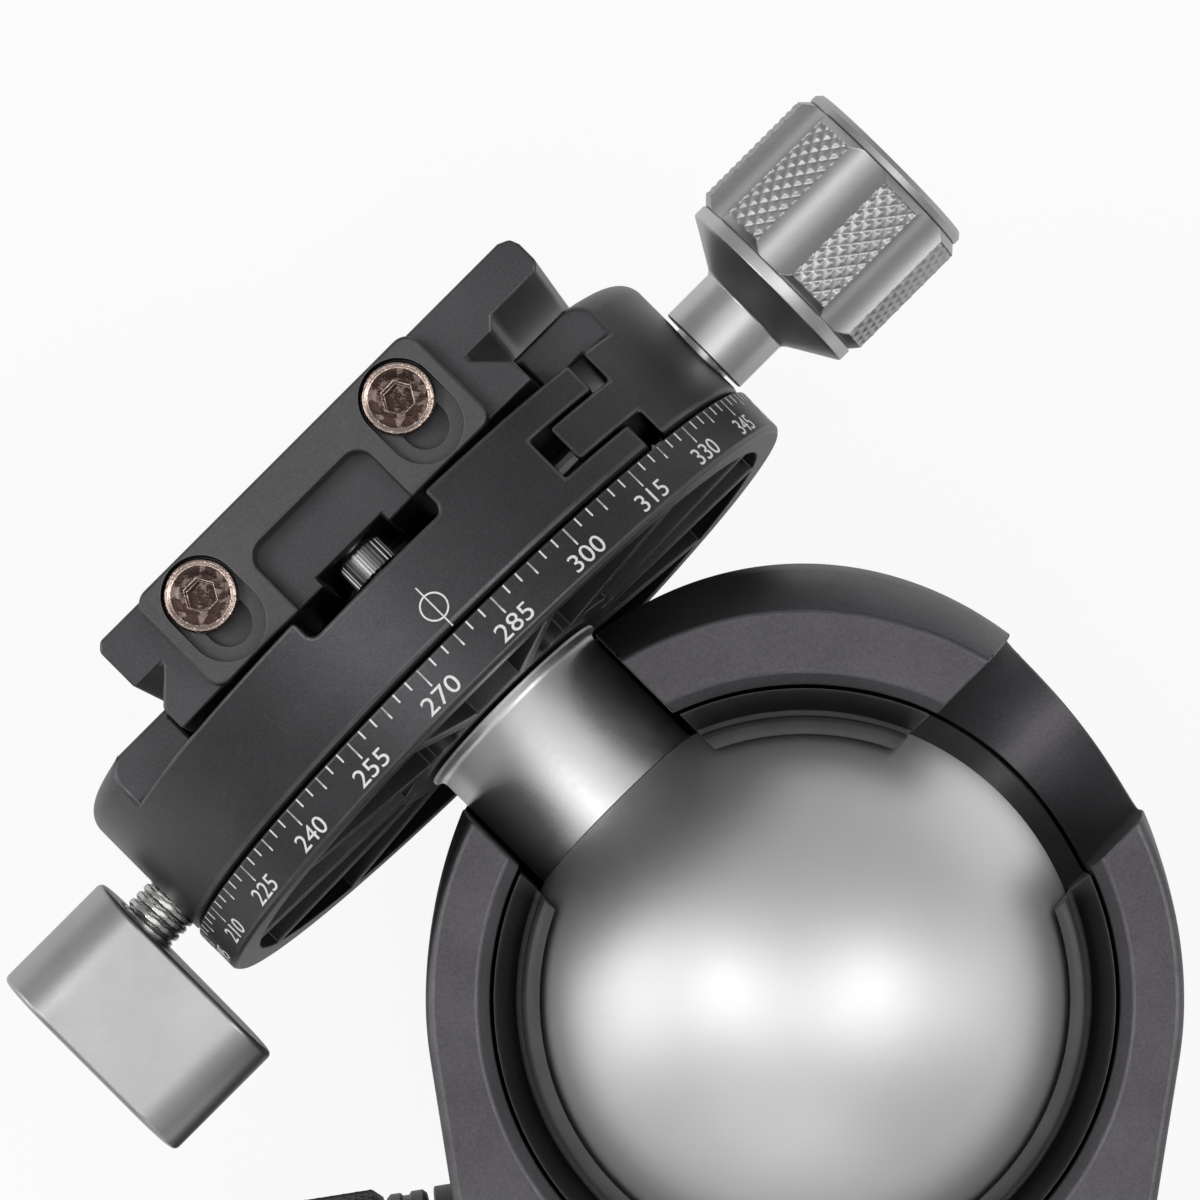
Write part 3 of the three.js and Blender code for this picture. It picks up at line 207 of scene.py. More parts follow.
def joined(items, name):
    mesh = bpy.data.meshes.new(name)
    work = bmesh.new()
    for item in items:
        work.from_mesh(item.data)
    work.to_mesh(mesh)
    work.free()
    for item in items:
        bpy.data.objects.remove(item)
    return newObject(name, mesh)


def softened(item, width, segments=3, angle=32, slide=True):
    # Rounds the sharp edges. The rounded faces keep the second material number, which later marks them as worn.
    weld = 2e-4
    work = bmesh.new()
    work.from_mesh(item.data)
    bmesh.ops.remove_doubles(work, verts=work.verts, dist=weld)
    bmesh.ops.dissolve_degenerate(work, edges=work.edges, dist=weld)
    work.to_mesh(item.data)
    work.free()
    item.data.materials.clear()
    for _ in range(2):
        item.data.materials.append(None)
    step = item.modifiers.new("edges", "BEVEL")
    step.width = width
    step.segments = segments
    step.limit_method = "ANGLE"
    step.angle_limit = math.radians(angle)
    step.use_clamp_overlap = False
    step.loop_slide = slide
    step.material = 1
    return applied(item)


def smoothed(item, crease=34, level=0.3):
    # Flat faces stay flat, and the rest is smooth with crisp edges kept and normals weighted by face size
    crease, level = math.radians(crease), math.radians(level)
    work = bmesh.new()
    work.from_mesh(item.data)
    for face in work.faces:
        beside = [e for e in face.edges if all(f.material_index == 0 for f in e.link_faces)]
        bends = [e.calc_face_angle(0) for e in beside]
        face.smooth = face.material_index != 0 or any(level < bend < crease for bend in bends)
    for edge in work.edges:
        edge.smooth = edge.calc_face_angle(0) < crease
    work.to_mesh(item.data)
    work.free()
    step = item.modifiers.new("normals", "WEIGHTED_NORMAL")
    step.keep_sharp = True
    return applied(item)


def placed(item, name, matrix, body, material, replaced=(), smooth=True):
    # Bakes the place, and keeps the piece's own millimetres as an attribute for its material
    if smooth:
        smoothed(item)
    mesh = item.data
    old = mesh.attributes.get("place")
    if old:
        mesh.attributes.remove(old)
    place = mesh.attributes.new("place", "FLOAT_VECTOR", "POINT")
    place.data.foreach_set("vector", [c for v in mesh.vertices for c in v.co])
    worn = mesh.attributes.new("worn", "FLOAT", "FACE")
    worn.data.foreach_set("value", [float(face.material_index) for face in mesh.polygons])
    mesh.transform(Matrix.Scale(mm, 4) @ matrix)
    item.name = name
    mesh.name = name
    mesh.materials.clear()
    mesh.materials.append(material)
    mesh.polygons.foreach_set("material_index", [0] * len(mesh.polygons))
    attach(item, body)
    if replaced:
        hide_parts(*replaced)
    return item


# Node trees: sockets take numbers, colours, other sockets or sums
def feed(tree, slot, value):
    if isinstance(value, Sum):
        tree.links.new(value.socket, slot)
    elif isinstance(value, bpy.types.NodeSocket):
        tree.links.new(value, slot)
    else:
        slot.default_value = value


def makeNode(tree, kind, values=None, **settings):
    node = tree.nodes.new(kind)
    for key, value in settings.items():
        setattr(node, key, value)
    for key, value in (values or {}).items():
        feed(tree, node.inputs[key], value)
    return node


class Sum:
    # Shader maths written as Python: each expression adds its Math nodes
    def __init__(self, tree, socket):
        self.tree = tree
        self.socket = socket

    def made(self, operation, *values):
        node = makeNode(self.tree, "ShaderNodeMath", dict(enumerate(values)), operation=operation)
        return Sum(self.tree, node.outputs[0])

    def __add__(self, other):
        return self.made("ADD", self, other)

    def __radd__(self, other):
        return self.made("ADD", other, self)

    def __sub__(self, other):
        return self.made("SUBTRACT", self, other)

    def __rsub__(self, other):
        return self.made("SUBTRACT", other, self)

    def __mul__(self, other):
        return self.made("MULTIPLY", self, other)

    def __rmul__(self, other):
        return self.made("MULTIPLY", other, self)

    def capped(self, most):
        return self.made("MINIMUM", self, most)

    def ramp(self, low, high, start=0.0, end=1.0):
        values = dict(enumerate((self, low, high, start, end)))
        node = makeNode(self.tree, "ShaderNodeMapRange", values, clamp=True)
        return Sum(self.tree, node.outputs[0])


class Finish:
    # One material: its tree, its shader and the piece's own millimetre coordinates
    def __init__(self, name, **constants):
        self.material = bpy.data.materials.new(name)
        self.material.use_nodes = True
        self.tree = self.material.node_tree
        self.shader = self.tree.nodes["Principled BSDF"]
        self.place = makeNode(self.tree, "ShaderNodeAttribute", attribute_name="place").outputs["Vector"]
        for key, value in constants.items():
            self.shader.inputs[key.replace("_", " ")].default_value = value

    def noise(self, scale, detail=4.0, roughness=0.55, vector=None):
        values = {"Vector": vector or self.place, "Scale": scale, "Detail": detail, "Roughness": roughness}
        return Sum(self.tree, makeNode(self.tree, "ShaderNodeTexNoise", values).outputs["Fac"])

    def latheMarks(self, spacing=3.4, drift=0.25):
        # A vector in which noise makes lines that run round the piece
        split = makeNode(self.tree, "ShaderNodeSeparateXYZ", {0: self.place})
        x, y, z = [Sum(self.tree, out) for out in split.outputs]
        spread = x * x + y * y
        radius = spread.made("SQRT", spread)
        angle = y.made("ARCTAN2", y, x)
        values = {0: z * spacing, 1: radius * spacing, 2: angle * drift}
        return makeNode(self.tree, "ShaderNodeCombineXYZ", values).outputs[0]

    def mix(self, amount, first, second):
        values = {"Factor": amount, 6: first, 7: second}
        return makeNode(self.tree, "ShaderNodeMix", values, data_type="RGBA").outputs[2]

    def edge(self):
        # 1 on the rounded edges and 0 elsewhere
        node = makeNode(self.tree, "ShaderNodeAttribute", attribute_name="worn")
        return Sum(self.tree, node.outputs["Fac"])

    def bump(self, height, strength, distance):
        values = {"Height": height, "Strength": strength, "Distance": distance * mm}
        node = makeNode(self.tree, "ShaderNodeBump", values)
        feed(self.tree, self.shader.inputs["Normal"], node.outputs[0])

    def set(self, **values):
        for key, value in values.items():
            feed(self.tree, self.shader.inputs[key.replace("_", " ")], value)
        return self.material


def rgb(r, g, b):
    return (r, g, b, 1.0)


def scaled(color, share):
    return rgb(*(c * share for c in color))


def anodised(name, dark, light, rough, grain, wear=0.22):
    # Bead blasted and dyed aluminium: a fine grain, faint cloudiness, edges worn a little paler
    kit = Finish(name, Metallic=0.75)
    cloud = kit.noise(0.12, 3.0)
    speck = kit.noise(9.0, 2.0)
    worn = kit.edge() * kit.noise(0.5, 5.0).ramp(0.3, 0.7, 0.35, 1.0)
    sparkle = kit.noise(5.0, 2.0, 0.7).ramp(0.35, 0.68)
    body = kit.mix(cloud.ramp(0.3, 0.7) * 0.5 + sparkle * 0.5, rgb(*dark), rgb(*light))
    kit.bump(speck + kit.noise(3.2, 3.0) * 0.6, 0.22 * grain, 0.03)
    return kit.set(
        Base_Color=kit.mix(worn * wear, body, rgb(0.3, 0.29, 0.3)),
        Roughness=speck.ramp(0.3, 0.7, rough - 0.05, rough + 0.07) + cloud * 0.04,
    )


def blasted(name, color, rough, grain=7.0, relief=0.12, cloudy=0.9):
    # Bare metal with a satin grain and a few polished scuffs
    kit = Finish(name, Metallic=1.0)
    speck = kit.noise(grain, 2.0)
    cloud = kit.noise(0.15, 4.0)
    scuff = kit.noise(1.1, 6.0, 0.7).ramp(0.6, 0.72)
    kit.bump(speck, relief, 0.02)
    return kit.set(
        Base_Color=kit.mix(cloud.ramp(0.35, 0.65), rgb(*color), scaled(color, cloudy)),
        Roughness=speck.ramp(0.3, 0.7, rough - 0.04, rough + 0.05) - scuff * 0.05,
    )


def brushedRound(name, color, rough):
    # Lathe marks that run round the piece
    kit = Finish(name, Metallic=1.0)
    vector = kit.latheMarks()
    lines = kit.noise(2.2, 4.0, 0.5, vector)
    fine = kit.noise(7.0, 2.0, 0.5, vector)
    kit.bump(lines + fine * 0.5, 0.16, 0.02)
    return kit.set(
        Base_Color=kit.mix(lines.ramp(0.3, 0.7), scaled(color, 0.78), rgb(*color)),
        Roughness=lines.ramp(0.25, 0.75, rough + 0.08, rough - 0.05) + kit.noise(0.3) * 0.05,
    )


def pitted(name, pale, deep):
    # Plated steel that has been handled: a dark skin, pressed marks and bright edges
    kit = Finish(name, Metallic=1.0)
    marks = kit.noise(1.1, 4.0, 0.55)
    fine = kit.noise(6.0, 2.0)
    bright = (marks.ramp(0.52, 0.62) * 0.3 + kit.edge()).capped(1.0)
    kit.bump(marks.ramp(0.46, 0.6) + fine * 0.1, 0.4, 0.1)
    return kit.set(
        Base_Color=kit.mix(bright, rgb(*deep), rgb(*pale)),
        Roughness=fine.ramp(0.3, 0.7, 0.2, 0.34),
    )


def plainPolymer(name, color, rough):
    kit = Finish(name, Specular_IOR_Level=0.4)
    grain = kit.noise(5.0, 3.0)
    kit.bump(grain, 0.2, 0.03)
    return kit.set(
        Base_Color=kit.mix(kit.noise(0.25).ramp(0.3, 0.7), rgb(*color), scaled(color, 1.5)),
        Roughness=grain.ramp(0.3, 0.7, rough - 0.07, rough + 0.08),
    )


def paintedWhite(name):
    kit = Finish(name)
    chip = kit.noise(6.0, 4.0)
    return kit.set(
        Base_Color=kit.mix(chip.ramp(0.55, 0.7), rgb(0.78, 0.77, 0.78), rgb(0.52, 0.51, 0.53)),
        Roughness=chip.ramp(0.3, 0.7, 0.45, 0.65),
    )


black = anodised("housing_black", (0.062, 0.058, 0.063), (0.11, 0.105, 0.112), rough=0.42, grain=2.0)
clampBlack = anodised("clamp_black", (0.045, 0.043, 0.0455), (0.078, 0.075, 0.079), rough=0.36, grain=1.8)
barGrey = anodised("stop_bar_grey", (0.064, 0.062, 0.064), (0.098, 0.095, 0.098), rough=0.42, grain=1.4)
ballSilver = blasted("ball_silver", (0.78, 0.776, 0.772), 0.5, grain=9.0, relief=0.16, cloudy=0.97)
knobSilver = blasted("knob_silver", (0.46, 0.457, 0.457), 0.4)
bellSilver = blasted("bell_silver", (0.6, 0.596, 0.596), 0.36)
stemSteel = blasted("stem_steel", (0.88, 0.875, 0.87), 0.44, grain=4.5, relief=0.3)
steel = brushedRound("turned_steel", (0.62, 0.615, 0.6), 0.22)
brassy = brushedRound("turned_brass", (0.6, 0.44, 0.2), 0.3)
copper = pitted("copper_brown", (0.5, 0.39, 0.34), (0.05, 0.032, 0.027))
polymer = plainPolymer("dark_polymer", (0.034, 0.033, 0.035), 0.4)
rubber = plainPolymer("matt_rubber", (0.018, 0.018, 0.018), 0.75)
white = paintedWhite("filled_white")
print("materials made")


# Housing. Tuples of three are a radius, a low and a high end.
housing = {
    "levels": [  # height, half the width, how far the front stands out
        (11.8, 28.1, 28.1),
        (12.3, 28.6, 28.6),
        (24, 28.9, 30.5),
        (34, 29.05, 31.7),
        (44, 29.2, 32.85),
        (50, 29.3, 33.5),
        (53.5, 29.32, 33.65),
        (56.5, 29.3, 33.15),
        (59.2, 29.28, 32.1),
        (61.3, 29.25, 30.95),
        (61.95, 29.18, 30.4),
        (62.3, 29.02, 30.18),
        (62.5, 28.7, 29.9),
    ],
    "rear": 27.5, "shoulder": 29.3, "taper": math.radians(9), "steps": 224, "mainBoss": (10.5, 11, 27.8),
    "frictionBoss": (8, 11, 27.8), "mouthFloor": 38.7, "mouth": 24.3, "mouthChamfer": 1.0,
    "cupBore": (18, 23.7, 40), "wedgeSlot": (-8.3, 7.3, -26.3, 13.3, 23.7, 26.7),
    "noseSlot": (-2.8, 1.8, -26.3, -18.3, 24, 37.3), "spigotBore": (13.4, 10.8, 18.8),
    "pivotBore": (4.3, 17.8, 24.7), "pivotHeadBore": (6.9, 21.2, 24.7), "mainScrewBore": (4.3, 0, 28.8),
    "frictionScrewBore": (3.3, 0, 28.8), "baseLockBore": (2.7, 12, 39.2), "edge": 0.18,
}
notch = {"radius": 8.4, "azimuths": (135, 45), "height": 35, "length": 56, "steps": 40}


def housingPoint(normal, half, reach):
    x, y = math.cos(normal), math.sin(normal)
    if y >= 0:
        return half * x, reach * y
    if y > -math.sin(housing["taper"]):
        return half * x, half * y
    near = housing["rear"] + half - housing["shoulder"]
    shift = (housing["shoulder"] - housing["rear"]) / math.sin(housing["taper"])
    return near * x, near * y - shift


def housingShell():
    steps = housing["steps"]
    points, faces = [], []
    for height, half, reach in housing["levels"]:
        for i in range(steps):
            points.append((*housingPoint(turn * (i + 0.5) / steps, half, reach), height))
    rows = len(housing["levels"])
    for j in range(rows - 1):
        faces += band(j * steps, (j + 1) * steps, steps)
    faces.append(tuple(range(steps)))
    faces.append(tuple((rows - 1) * steps + i for i in range(steps)))
    return fromFaces("housing", points, faces)


def notchTool(azimuth, radius):
    rounded = arc(0, 0, radius, 0, -180, notch["steps"])
    item = prism([(radius, notch["height"])] + rounded + [(-radius, notch["height"])], 0, notch["length"])
    facing = Matrix(((-1, 0, 0, 0), (0, 0, 1, 0), (0, 1, 0, 0), (0, 0, 0, 1)))
    return shifted(item, ballPlace @ turned(azimuth - 90, "Z") @ turned(-layout["stemDrop"], "X") @ facing)


def notches(radius):
    return [notchTool(azimuth, radius) for azimuth in notch["azimuths"]]


def makeHousing():
    item = housingShell()
    mainBoss = shifted(disc(*housing["mainBoss"]), mainKnobFrame)
    frictionBoss = shifted(disc(*housing["frictionBoss"]), frictionFrame)
    combined(item, [mainBoss, frictionBoss], "UNION")
    inner, floor, rim = housing["mouth"], housing["mouthFloor"], housing["levels"][-1][0]
    outer = inner + housing["mouthChamfer"]
    profile = [(0, floor), (inner, floor), (inner, rim - housing["mouthChamfer"]), (outer, rim)]
    tools = [
        lathe("tool", profile + [(outer, rim + past), (0, rim + past)], wide),
        disc(*housing["cupBore"]),
        box(*housing["wedgeSlot"]),
        box(*housing["noseSlot"]),
        disc(*housing["spigotBore"]),
        disc(*housing["pivotBore"], small),
        disc(*housing["pivotHeadBore"]),
        shifted(disc(*housing["mainScrewBore"], small), mainKnobFrame),
        shifted(disc(*housing["frictionScrewBore"], small), frictionFrame),
        shifted(disc(*housing["baseLockBore"], small), baseLockFrame),
    ]
    combined(item, tools + notches(notch["radius"]))
    softened(item, housing["edge"], 3, 28, slide=False)
    placed(item, "housing_shell", rowFrame, "socket", black, ["housing"])


makeHousing()
print("housing made")


# The ring in the mouth, and the liner that the ball turns in
retainer = {
    "outline": [(22.3, 57.8), (24, 57.8), (24, 61.2), (23.65, 60.8), (22.3, 58.1)], "edge": 0.08,
}
liner = {
    "low": 39, "high": 57.5, "outer": 24, "neck": 21.8, "ball": 22.3, "lip": 20.45, "lipRise": 0.5,
    "lipRound": [(21.5, -0.15), (21.0, 0)],  # radius, and height from the lip's top
    "seatDepth": 13, "seatSteps": 24, "edge": 0.1,
}


def makeRetainer():
    ring = lathe("ring", retainer["outline"], wide)
    combined(ring, notches(notch["radius"] + gap))
    softened(ring, retainer["edge"], 2)
    placed(ring, "retainer", rowFrame, "socket", black, ["retainer_front", "retainer_rear"])


def makeLiner():
    ball, lip, centre = liner["ball"], liner["lip"], layout["ballHeight"]
    lipTop = centre + math.sqrt(ball**2 - lip**2) + liner["lipRise"]
    high, low = math.acos(lip / ball), math.asin(-liner["seatDepth"] / ball)
    profile = [(liner["outer"], liner["low"]), (liner["outer"], liner["high"]), (liner["neck"], liner["high"])]
    profile.append((liner["neck"], lipTop - liner["lipRise"]))
    profile += [(radius, lipTop + height) for radius, height in liner["lipRound"]] + [(lip, lipTop)]
    for i in range(liner["seatSteps"] + 1):
        a = high + (low - high) * i / liner["seatSteps"]
        profile.append((ball * math.cos(a), centre + ball * math.sin(a)))
    item = lathe("liner", profile, wide)
    combined(item, notches(notch["radius"] + gap))
    softened(item, liner["edge"], 2)
    placed(item, "liner_race", rowFrame, "socket", polymer, ["ball_liner"])


makeRetainer()
makeLiner()
print("mouth made")


# Ball and stem
ball = {"radius": 22, "flat": 8.4, "socket": 5.3, "socketDepth": 9.3, "dish": 0.4, "steps": 90}
stem = {
    "tenon": 5, "tenonLength": 9, "radius": 8.1, "chamfer": 0.2,
    "flange": [(8.1, 31.2), (8.16, 31.5), (8.3, 31.7), (8.62, 31.85), (8.7, 31.95), (8.7, 32.15), (8.65, 32.2)],
    "bore": 2.8, "boreFloor": 24.7,
}


def makeBallAndStem():
    r, flat, steps = ball["radius"], ball["flat"], ball["steps"]
    seat = math.sqrt(r * r - flat**2)
    end = math.asin(seat / r)
    profile = [(0, -r)]
    for i in range(1, steps + 1):
        a = -math.pi / 2 + (end + math.pi / 2) * i / steps
        profile.append((r * math.cos(a), r * math.sin(a)))
    seat -= ball["dish"]
    floor = seat - ball["socketDepth"]
    profile += [(flat, seat), (ball["socket"], seat), (ball["socket"], floor), (0, floor)]
    sphere = lathe("ball", profile, wide)
    placed(sphere, "ball_sphere", stemFrame, "ball_stem", ballSilver, ["ball"])

    seat += gap
    tenon, foot, chamfer = stem["tenon"], seat - stem["tenonLength"], stem["chamfer"]
    profile = [(0, foot), (tenon, foot), (tenon, seat), (stem["radius"] - chamfer, seat)]
    profile += [(stem["radius"], seat + chamfer)] + stem["flange"]
    profile += [(stem["bore"], stem["flange"][-1][1]), (stem["bore"], stem["boreFloor"]), (0, stem["boreFloor"])]
    placed(lathe("stem", profile, middle), "stem_bar", stemFrame, "ball_stem", stemSteel, ["stem"])


makeBallAndStem()


# Pan ring, with pockets between its spokes
pan = {
    "outer": 30.0, "low": 32.5, "high": 36.6, "chamfers": (0.35, 0.1), "neck": 9, "neckTop": 41.3, "bore": 2.8,
    "rim": 27.3, "hub": 11.6, "depth": 3.0, "spokes": 12,
    "spokeHalves": (0.75, 0.5),  # half the spoke's width at the hub and at the rim
    "screws": 6, "screwCircle": 11.6, "screwHole": 1.3, "edge": 0.12,
}


def pocketTool(number):
    start, end = turn * (number - 0.5) / pan["spokes"], turn * (number + 0.5) / pan["spokes"]
    inner, outer = pan["hub"], pan["rim"]
    leanIn, leanOut = math.asin(pan["spokeHalves"][0] / inner), math.asin(pan["spokeHalves"][1] / outer)
    outline = []
    for i in range(13):
        a = start + leanOut + (end - start - 2 * leanOut) * (i / 12)
        outline.append((outer * math.cos(a), outer * math.sin(a)))
    for i in range(7):
        a = end - leanIn - (end - start - 2 * leanIn) * (i / 6)
        outline.append((inner * math.cos(a), inner * math.sin(a)))
    return prism(outline, pan["low"] - past, pan["low"] + pan["depth"])


def makePanRing():
    outer, low, high = pan["outer"], pan["low"], pan["high"]
    below, above = pan["chamfers"]
    profile = [(0, low), (outer - below, low), (outer, low + below), (outer, high - above), (outer - above, high)]
    profile += [(pan["neck"], high), (pan["neck"], pan["neckTop"]), (0, pan["neckTop"])]
    ring = lathe("ring", profile, wide)
    tools = [pocketTool(number) for number in range(pan["spokes"])]
    for number in range(pan["screws"]):
        a = turn * number / pan["screws"]
        hole = disc(pan["screwHole"], low - past, low + pan["depth"], 24)
        tools.append(shifted(hole, moved(pan["screwCircle"] * math.cos(a), pan["screwCircle"] * math.sin(a), 0)))
    tools.append(disc(pan["bore"], low - past, pan["neckTop"] + past, small))
    combined(ring, tools)
    softened(ring, pan["edge"], 2)
    placed(ring, "pan_ring_body", stemFrame, "ball_stem", clampBlack, ["pan_ring"])


makePanRing()


# The ring's scale: filled marks that stand a hair proud of the ring
scale = {
    "radius": 30.02,
    "reading": 275.6,  # what the index points at
    "top": 36.5,
    "marks": {"long": (24, 1.65), "medium": (48, 1.2), "short": (144, 0.8)},  # how many, and their length
    "width": 0.15, "proud": 0.012, "figures": 2.05, "figureStep": 15, "foot": 33.2, "squeeze": 1.16,
    "relief": 0.015,
}


def tickTree(name):
    # Marks round a circle, with named inputs
    kinds = {"Mark": "Object", "Count": "Int", "Radius": "Float", "Finish": "Material"}
    tree = bpy.data.node_groups.new(name, "GeometryNodeTree")
    for label, kind in kinds.items():
        tree.interface.new_socket(label, in_out="INPUT", socket_type="NodeSocket" + kind)
    tree.interface.new_socket("Geometry", in_out="OUTPUT", socket_type="NodeSocketGeometry")
    given = makeNode(tree, "NodeGroupInput").outputs
    ring = makeNode(tree, "GeometryNodeMeshCircle", {"Vertices": given["Count"], "Radius": given["Radius"]})
    place = makeNode(tree, "GeometryNodeInputPosition").outputs[0]
    aim = makeNode(tree, "FunctionNodeAlignRotationToVector", {"Vector": place}, axis="X")
    mark = makeNode(tree, "GeometryNodeObjectInfo", {"Object": given["Mark"]})
    values = {"Points": ring.outputs[0], "Instance": mark.outputs["Geometry"], "Rotation": aim.outputs[0]}
    spread = makeNode(tree, "GeometryNodeInstanceOnPoints", values)
    real = makeNode(tree, "GeometryNodeRealizeInstances", {"Geometry": spread.outputs[0]})
    values = {"Geometry": real.outputs[0], "Material": given["Finish"]}
    done = makeNode(tree, "GeometryNodeSetMaterial", values)
    makeNode(tree, "NodeGroupOutput", {0: done.outputs[0]})
    return tree


def marksRound(name, mark, count, radius, start):
    tree = bpy.data.node_groups.get("marks round") or tickTree("marks round")
    item = newObject(name, bpy.data.meshes.new(name))
    step = item.modifiers.new("marks", "NODES")
    step.node_group = tree
    values = {"Mark": mark, "Count": count, "Radius": radius, "Finish": white}
    for slot in tree.interface.items_tree:
        if slot.in_out == "INPUT":
            step[slot.identifier] = values[slot.name]
    item.update_tag()
    bpy.context.view_layer.update()
    applied(item)
    bpy.data.objects.remove(mark)
    return shifted(item, Matrix.Rotation(start, 4, "Z"))


def numberPlate(text, angle):
    curve = bpy.data.curves.new("number", "FONT")
    curve.body = text
    curve.size = scale["figures"]
    curve.align_x = "CENTER"
    curve.resolution_u = 4
    curve.extrude = scale["relief"]
    item = newObject("number", curve)
    bpy.context.view_layer.update()
    mesh = bpy.data.meshes.new_from_object(item.evaluated_get(bpy.context.evaluated_depsgraph_get()))
    bpy.data.objects.remove(item)
    for v in mesh.vertices:
        a = angle + v.co.x * scale["squeeze"] / scale["radius"]
        r = scale["radius"] + v.co.z
        v.co = Vector((r * math.cos(a), r * math.sin(a), scale["foot"] + v.co.y))
    return newObject("number", mesh)


def makeScale():
    # Seen from outside, with the clamp above, the numbers grow towards the large knob
    def angleOf(value):
        return -math.pi / 2 + (value - scale["reading"]) * (turn / 360)

    items = []
    proud, half, top = scale["proud"], scale["width"] / 2, scale["top"]
    for name, (count, length) in scale["marks"].items():
        mark = box(-proud, proud, -half, half, top - length, top)
        items.append(marksRound("ticks_" + name, mark, count, scale["radius"], angleOf(0)))
    for value in range(0, 360, scale["figureStep"]):
        items.append(numberPlate("%d" % value, angleOf(value)))
    placed(joined(items, "scale"), "ring_scale", stemFrame, "ball_stem", white, smooth=False)


makeScale()
print("ball, stem and ring made")


# Clamp: a turned blank, split into the body and the jaw by outlines across the dovetail
dovetail = {"half": 18.8, "lip": 48.8}  # the plate's lip, half its width and its height
clamp = {
    "outer": 29.8, "low": 36.9, "high": 49.6, "round": 1.8, "footChamfer": 0.3,
    "reach": 31,  # past the blank
    "ledge": 45.8, "ledgeFrom": 15, "ledgeTop": 51, "screwBore": (2.9, 10.7, 31), "springBore": (3.6, 13, 20.3),
    "pinBore": (1.5, 8.7, 25.3), "pinOffset": 13, "edge": 0.3,
}
dovetail["slope"] = dovetail["half"] + dovetail["lip"] + gap * math.sqrt(2)  # across plus height on its flank
dovetail["wall"] = dovetail["half"] + gap
clamp["floor"] = clamp["low"] - past
clamp["roof"] = clamp["high"] + past
clampBody = {
    "face": 21.5,
    "slot": (15.3, 39.3, 43.2),  # how deep it goes, and its low and high side
    "seat": 46.4,
    "channel": (45.6, 0.5),  # floor and corner
    "endChannel": (43.8, 0.8), "channelHalf": 7, "channelTop": 54, "endChannelFrom": 11,
    "neckBore": (9.3, 35.9, 42.3), "boltBore": (10.6, 41.3, 50.6), "washerGroove": (11.7, 20.3, 35.9, 37.9),
    "brakeBore": (1.5, 8, 13.6), "lockBore": (2.7, 12.6, 31),
}
jaw = {"face": 23, "tongue": (17.1, 39.6, 42.9), "seat": 46.1}


def clampBlank():
    outer, r, chamfer, reach = clamp["outer"], clamp["round"], clamp["footChamfer"], clamp["reach"]
    profile = [(0, clamp["low"]), (outer - chamfer, clamp["low"]), (outer, clamp["low"] + chamfer)]
    profile += arc(outer - r, clamp["high"] - r, r, 0, 90, 14) + [(0, clamp["high"])]
    item = lathe("blank", profile, wide)
    ledge, top, near = clamp["ledge"], clamp["ledgeTop"], clamp["ledgeFrom"]
    return combined(item, [box(-reach, reach, near, reach, ledge, top), box(-reach, reach, -reach, -near, ledge, top)])


def clampBores():
    tools = [shifted(disc(*clamp[bore], small), clampKnobAxis) for bore in ("screwBore", "springBore")]
    for side in (-clamp["pinOffset"], clamp["pinOffset"]):
        tools.append(shifted(disc(*clamp["pinBore"], small), moved(0, side, 0) @ clampKnobAxis))
    return tools


def makeClampBody():
    face, reach, seat = clampBody["face"], clamp["reach"], clampBody["seat"]
    depth, slotLow, slotHigh = clampBody["slot"]
    half, slope, wall = dovetail["half"], dovetail["slope"], dovetail["wall"]
    floor, roof, ledge = clamp["floor"], clamp["roof"], clamp["ledge"]
    outline = [(-reach, floor), (face, floor), (face, slotLow), (depth, slotLow), (depth, slotHigh)]
    outline += [(face, slotHigh), (face, ledge), (half, ledge), (half, seat)]
    outline += [(-wall, seat), (-wall, slope - wall), (roof - slope, roof), (-reach, roof)]
    item = combined(clampBlank(), [across(outline, -reach, reach)], "INTERSECT")
    width, top, near = clampBody["channelHalf"], clampBody["channelTop"], clampBody["endChannelFrom"]
    channelFloor, channelCorner = clampBody["channel"]
    endFloor, endCorner = clampBody["endChannel"]
    endChannel = roundedBox(-width, width, endFloor, top, endCorner)
    tools = [
        across(roundedBox(-width, width, channelFloor, top, channelCorner), -reach, reach),
        across(endChannel, near, reach),
        across(endChannel, -reach, -near),
        disc(*clampBody["neckBore"]),
        disc(*clampBody["boltBore"]),
        tube(*clampBody["washerGroove"]),
        shifted(disc(*clampBody["brakeBore"], small), lockAxis),
        shifted(disc(*clampBody["lockBore"], small), lockAxis),
    ]
    combined(item, tools + clampBores())
    softened(item, clamp["edge"], 3, 30)
    placed(item, "clamp_block", stemFrame, "clamp", clampBlack, ["clamp_body"])


def makeJaw():
    face, reach, seat = jaw["face"], clamp["reach"], jaw["seat"]
    depth, tongueLow, tongueHigh = jaw["tongue"]
    slope, wall, floor, roof = dovetail["slope"], dovetail["wall"], clamp["floor"], clamp["roof"]
    outline = [(wall, seat), (face, seat), (face, tongueHigh), (depth, tongueHigh), (depth, tongueLow)]
    outline += [(face, tongueLow), (face, floor), (reach, floor), (reach, roof)]
    outline += [(slope - roof, roof), (wall, slope - wall)]
    item = combined(clampBlank(), [across(outline, -reach, reach)], "INTERSECT")
    combined(item, clampBores())
    softened(item, clamp["edge"], 3, 30)
    placed(item, "jaw_block", stemFrame, "jaw", clampBlack, ["movable_jaw"])


makeClampBody()
makeJaw()
print("clamp made")


# The pan index on the clamp's wall: a line through a ring
index = {
    "angle": math.atan2(-1, 0.047), "relief": 0.02, "line": (36.98, 41.0), "half": 0.06, "ringHeight": 39.0,
    "ringRadii": (1.0, 1.14), "steps": 48,
}


